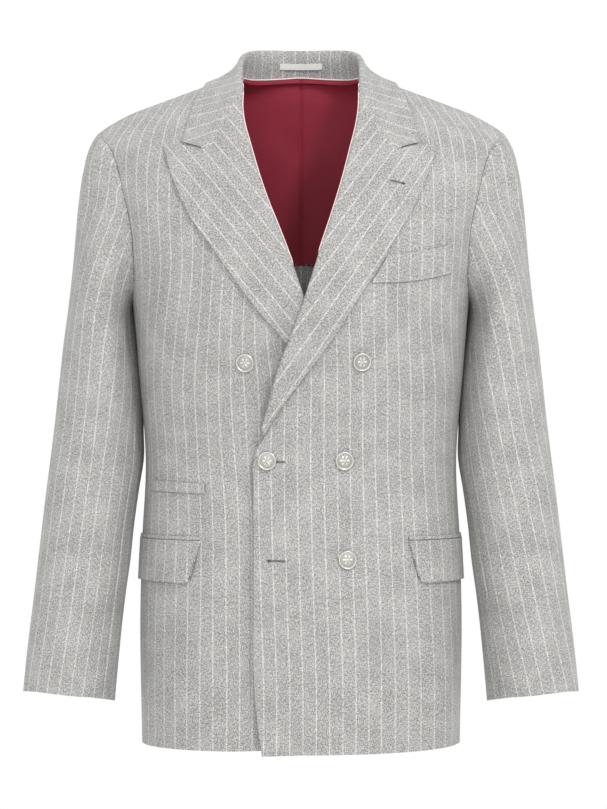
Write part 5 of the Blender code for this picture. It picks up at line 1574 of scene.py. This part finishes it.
def tube(name, path, radius, surface_name, closed=False, sides=8, up=(0.0, 1.0, 0.001)):
    """A round thread or cord along a line of points; radius may change along it."""
    path = np.asarray(path, float)
    radius = np.broadcast_to(np.asarray(radius, float), (len(path),))
    bpy.ops.object.select_all(action="DESELECT")
    bpy.ops.mesh.primitive_cylinder_add(vertices=sides, radius=1.0, depth=1.0, end_fill_type="NGON")
    piece = named(name)
    if closed:
        way = np.roll(path, -1, axis=0) - np.roll(path, 1, axis=0)
    else:
        way = np.gradient(path, axis=0)
    way /= np.linalg.norm(way, axis=1, keepdims=True)
    side = np.cross(way, np.array(up))
    side /= np.linalg.norm(side, axis=1, keepdims=True)
    top = np.cross(way, side)
    angle = np.linspace(0, 2 * math.pi, sides, endpoint=False)
    ring = (path[:, None] + radius[:, None, None] * (side[:, None] * np.cos(angle)[:, None]
                                                     + top[:, None] * np.sin(angle)[:, None]))
    count = len(path)
    faces = []
    for k in range(count if closed else count - 1):
        a, b = k * sides, (k + 1) % count * sides
        faces += [(a + s, a + (s + 1) % sides, b + (s + 1) % sides, b + s) for s in range(sides)]
    if not closed:
        faces += [tuple(range(sides))[::-1], tuple(range((count - 1) * sides, count * sides))]
    piece.data.clear_geometry()
    piece.data.from_pydata([tuple(p * MM) for p in ring.reshape(-1, 3)], [], faces)
    face_outward()
    piece.data.materials.append(surface(surface_name))
    bpy.ops.object.shade_smooth_by_angle(angle=math.radians(50))
    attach(piece, "root")
    return piece


def piping(line):
    """Light piping along the lower edge of the stand, inside the neck."""
    line = resample(line, 90)
    inward = np.array([0.0, -1.0, 0.0]) - line * np.array([1 / 90, 0.0, 0.0])
    inward /= np.linalg.norm(inward, axis=1, keepdims=True)
    line = line + inward * PIPING_IN + np.array([0, 0, PIPING_UP])
    tube("neck_piping", line, PIPING_R, "pale_cord_and_painted_highlight", sides=10)


def stitches(line):
    """Pin stitches that hold the lower edge of the lining, one thread piece for each side."""
    line = resample(line, 400)
    run = lengths(line)
    for side, flip in SIDES:
        parts = []
        for start in np.arange(PIN_GAP / 2, run[-1] - PIN_GAP / 2, PIN_GAP):
            path = read(np.linspace(start, start + PIN_LENGTH, 4), run, line)
            path += np.array([0.0, -PIN_BACK, PIN_UP])
            path = path * MIRROR if flip else path
            parts.append(tube("stitch", path, PIN_R, "lining_thread", sides=6))
        bpy.ops.object.select_all(action="DESELECT")
        for part in parts:
            part.select_set(True)
        bpy.context.view_layer.objects.active = parts[0]
        bpy.ops.object.join()
        named("lining_stitches_" + side)


# ---------------------------------------------------------------- buttons and buttonholes
def button_frame(x, z, under):
    """Centre on the body face, its outward direction and its up, for a place of the front view."""
    side = -1.0 if under else 1.0
    g, t = on_front(x * side, z)
    centre, n = form(g, t), normal(g, t)
    sink = press(centre[0], centre[2], OVER_EDGE) if under else 0.0
    return centre, n, float(sink), np.array([side, 1.0, 1.0])


def relief(r, angle):
    """Height of the button's stamped face, 0 to 1: a rosette inside a rope rim."""
    rim = np.exp(-((r - 0.90) / 0.055) ** 2) * (0.86 + 0.14 * np.sin(36 * angle + 40 * r))
    groove = np.exp(-((r - 0.79) / 0.03) ** 2)
    dome = 0.42 * (1 - (r / 0.8) ** 2) * (r < 0.8)
    petal = np.clip(np.cos(3 * angle) ** 2 * 1.5 - 0.12 - ((r - 0.31) / 0.24) ** 2, 0, 1) * 0.5
    heart = np.exp(-(r / 0.10) ** 2) * 0.5
    leaf = np.clip(np.sin(3 * angle) ** 2 * 1.4 - 0.7 - ((r - 0.52) / 0.09) ** 2, 0, 1) * 0.28
    height = dome + petal + heart + leaf + rim * 0.95 - 0.18 * groove
    return height, np.clip(0.85 - 1.3 * (petal + heart + leaf + rim), 0, 1)


def button_piece(b):
    """A stamped metal button, made from a cylinder whose face is inset into rings."""
    under = b.x < 0 and b.name.endswith("top_right")
    centre, n, sink, mirror = button_frame(b.x, b.z, under)
    centre = (centre + n * (b.lift - sink)) * mirror
    n = n * mirror
    across = np.cross([0.0, 0.0, 1.0], n)
    across /= np.linalg.norm(across)
    up = np.cross(n, across)
    steps, rings = 96, 34
    bpy.ops.object.select_all(action="DESELECT")
    bpy.ops.mesh.primitive_cylinder_add(vertices=steps, radius=1.0, depth=1.0, end_fill_type="NGON")
    piece = named(b.name + "_metal")
    bpy.ops.object.mode_set(mode="EDIT")
    bpy.ops.mesh.select_mode(type="FACE")
    bpy.ops.mesh.select_all(action="DESELECT")
    bpy.ops.object.mode_set(mode="OBJECT")
    top = max(piece.data.polygons, key=lambda face: face.center.z)
    top.select = True
    bpy.ops.object.mode_set(mode="EDIT")
    for _ in range(rings):
        bpy.ops.mesh.inset(thickness=0.97 / rings)
    bpy.ops.object.mode_set(mode="OBJECT")
    mesh = piece.data
    count = len(mesh.vertices)
    co = np.empty(count * 3)
    mesh.vertices.foreach_get("co", co)
    co = co.reshape(-1, 3)
    r0, angle = np.hypot(co[:, 0], co[:, 1]), np.arctan2(co[:, 1], co[:, 0])
    order = np.unique(np.round(r0[co[:, 2] > 0], 4))[::-1]
    radius = sizes().button_size / MM / 2
    share, height = np.full(count, 0.42), np.zeros(count)
    deep = np.zeros(count)
    edge = ((0.93, 0.42), (0.985, 0.52), (1.0, 0.64), (0.985, 0.74))
    inner = np.linspace(0.965, 0.02, len(order) - len(edge))
    for k, value in enumerate(order):
        pick = (co[:, 2] > 0) & (np.abs(r0 - value) < 2e-4)
        if k < len(edge):
            share[pick], height[pick] = edge[k][0], edge[k][1] * BUTTON_THICK
        else:
            level, dark = relief(inner[k - len(edge)], angle[pick])
            share[pick] = inner[k - len(edge)]
            height[pick] = BUTTON_THICK * 0.76 + 0.85 * level
            deep[pick] = dark
    place = centre + n * height[:, None] + (across * np.cos(angle)[:, None]
                                            + up * np.sin(angle)[:, None]) * (share * radius)[:, None]
    mesh.vertices.foreach_set("co", (place * MM).reshape(-1))
    mesh.attributes.new("recess", "FLOAT", "POINT").data.foreach_set("value", deep)
    mesh.update()
    face_outward()
    mesh.materials.append(surface("metal"))
    bpy.ops.object.shade_smooth_by_angle(angle=math.radians(60))
    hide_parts(b.name)
    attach(piece, "root")


class BLAZER_OT_buttons(bpy.types.Operator):
    """Stamp the five metal buttons"""
    bl_idname = "blazer.buttons"
    bl_label = "Buttons"

    def execute(self, context):
        for b in BUTTONS:
            button_piece(b)
        return {"FINISHED"}


# buttonholes on the over-front, from the eye to the end (x, z), and how high they lie
Hole = namedtuple("Hole", "name eye_x eye_z end_x end_z lift")
HOLES = rows_of(
    Hole,
    ("middle", -28.0, -430.4, -17.5, -430.6, 0.0),
    ("low", -35.2, -535.8, -17.0, -536.0, 0.0),
    ("lapel", 110.6, -132.6, 96.2, -129.4, LAY_GAP + LAPEL_CLOTH),
)


def buttonhole(hole):
    """Purl-stitched buttonhole with a dark slit of painted shadow and a small round eye."""
    ends = np.array([[hole.eye_x, hole.eye_z], [hole.end_x, hole.end_z]])
    way = ends[1] - ends[0]
    long = np.linalg.norm(way)
    way /= long
    side = np.array([-way[1], way[0]])
    angle = np.linspace(0, 2 * math.pi, 240, endpoint=False)
    along = long / 2 - (long / 2 + 0.9) * np.cos(angle)
    half = 0.95 + 0.55 * np.exp(-((along - 0.6) / 1.3) ** 2)
    flat = ends[0] + along[:, None] * way + (half * np.sign(np.sin(angle))
                                             * np.abs(np.sin(angle)) ** 0.35)[:, None] * side
    g, t = on_front(flat[:, 0], flat[:, 1])
    path = on_face(g, t, np.full(len(g), hole.lift + 0.22))
    run = lengths(path)
    purl = 0.27 + 0.07 * np.sin(run / 0.75 * 2 * math.pi)
    tube("buttonhole_" + hole.name + "_thread", path, purl, "thread", closed=True)
    # the slit: a dark tube of painted shadow in the cut, widest at the eye
    d = np.linspace(-0.2, long + 0.2, 24)
    line = ends[0] + d[:, None] * way
    g, t = on_front(line[:, 0], line[:, 1])
    width = 0.3 + 0.62 * np.exp(-((d - 0.6) / 1.5) ** 2)
    width[0] = width[-1] = 0.1
    tube("buttonhole_" + hole.name + "_slit", on_face(g, t, np.full(len(g), hole.lift + 0.1)), width,
         "slit")


class BLAZER_OT_buttonholes(bpy.types.Operator):
    """Sew the buttonholes of the over-front and the lapel"""
    bl_idname = "blazer.buttonholes"
    bl_label = "Buttonholes"

    def execute(self, context):
        for hole in HOLES:
            buttonhole(hole)
        return {"FINISHED"}


# ---------------------------------------------------------------- stage
def area_light(name, place, aim, size, power):
    """A large soft light pointed at a place."""
    light = bpy.data.lights.new(name, "AREA")
    light.shape, light.size, light.energy = "DISK", size, power
    lamp = bpy.data.objects.new(name, light)
    bpy.context.scene.collection.objects.link(lamp)
    way = np.array(aim, float) - np.array(place, float)
    flat = math.hypot(way[0], way[1])
    lamp.location = place
    lamp.rotation_euler = (math.atan2(flat, -way[2]), 0.0, math.atan2(-way[0], way[1]))


SENSOR = 24.0            # height of the camera's sensor, in mm
FOCAL = 3158.8 / 809     # focal length in picture heights


class BLAZER_OT_stage(bpy.types.Operator):
    """Set the pale floor, the soft lights, the plain sky and the camera"""
    bl_idname = "blazer.stage"
    bl_label = "Stage"

    def execute(self, context):
        scene = bpy.context.scene
        bpy.ops.object.select_all(action="DESELECT")
        bpy.ops.mesh.primitive_plane_add(size=5.0, location=(0.0, 0.0, -1.45))
        floor = bpy.context.object
        floor.name = "floor"
        bpy.ops.object.transform_apply(location=True, rotation=False, scale=False)
        made, tree, shader = begin("painted_board_white", Roughness=0.8)
        grain = own_grain(tree, 6.0, 2.0)
        tree.links.new(blend_colour(tree, grain, colour("#f2f2f1"), colour("#f6f6f5")),
                       shader.inputs["Base Color"])
        floor.data.materials.append(made)
        world = bpy.data.worlds.new("plain_sky")
        scene.world = world
        world.use_nodes = True
        sky = world.node_tree.nodes["Background"]
        sky.inputs["Color"].default_value = (1.0, 1.0, 1.0, 1.0)
        sky.inputs["Strength"].default_value = 1.0
        area_light("key", (1.5, -2.7, 2.1), (0.0, -0.1, -0.35), 0.6, 58.0)
        area_light("fill", (-0.9, -3.4, 0.6), (0.0, 0.0, -0.35), 2.2, 24.0)
        camera = bpy.data.cameras.new("camera")
        holder = bpy.data.objects.new("camera", camera)
        scene.collection.objects.link(holder)
        camera.sensor_fit, camera.sensor_height = "VERTICAL", SENSOR
        camera.lens = SENSOR * FOCAL
        camera.clip_end = 100.0
        holder.location = (0.0028, -3.588, -0.369)
        holder.rotation_euler = (math.radians(90), 0.0, 0.0)
        scene.camera = holder
        scene.view_settings.view_transform = "Standard"
        return {"FINISHED"}


class BLAZER_PT_panel(bpy.types.Panel):
    """Everything a maker needs, in the order it is made"""
    bl_idname = "BLAZER_PT_panel"
    bl_label = "Blazer"
    bl_space_type = "VIEW_3D"
    bl_region_type = "UI"
    bl_category = "Blazer"

    def draw(self, context):
        for name in BlazerSizes.__annotations__:
            self.layout.prop(context.scene.blazer_sizes, name)
        for operator in OPERATORS:
            self.layout.operator(operator.bl_idname)


OPERATORS = (BLAZER_OT_body, BLAZER_OT_sleeves, BLAZER_OT_lapels, BLAZER_OT_pockets,
             BLAZER_OT_lining, BLAZER_OT_buttons, BLAZER_OT_buttonholes, BLAZER_OT_stage)
CLASSES = (BlazerSizes,) + OPERATORS + (BLAZER_PT_panel,)


def register():
    for each in CLASSES:
        bpy.utils.register_class(each)
    bpy.types.Scene.blazer_sizes = bpy.props.PointerProperty(type=BlazerSizes)


def unregister():
    del bpy.types.Scene.blazer_sizes
    for each in reversed(CLASSES):
        bpy.utils.unregister_class(each)


def main():
    register()
    bpy.ops.blazer.body()
    bpy.ops.blazer.sleeves()
    bpy.ops.blazer.lapels()
    bpy.ops.blazer.pockets()
    bpy.ops.blazer.lining()
    bpy.ops.blazer.buttons()
    bpy.ops.blazer.buttonholes()
    bpy.ops.blazer.stage()


if __name__ == "__main__":
    main()
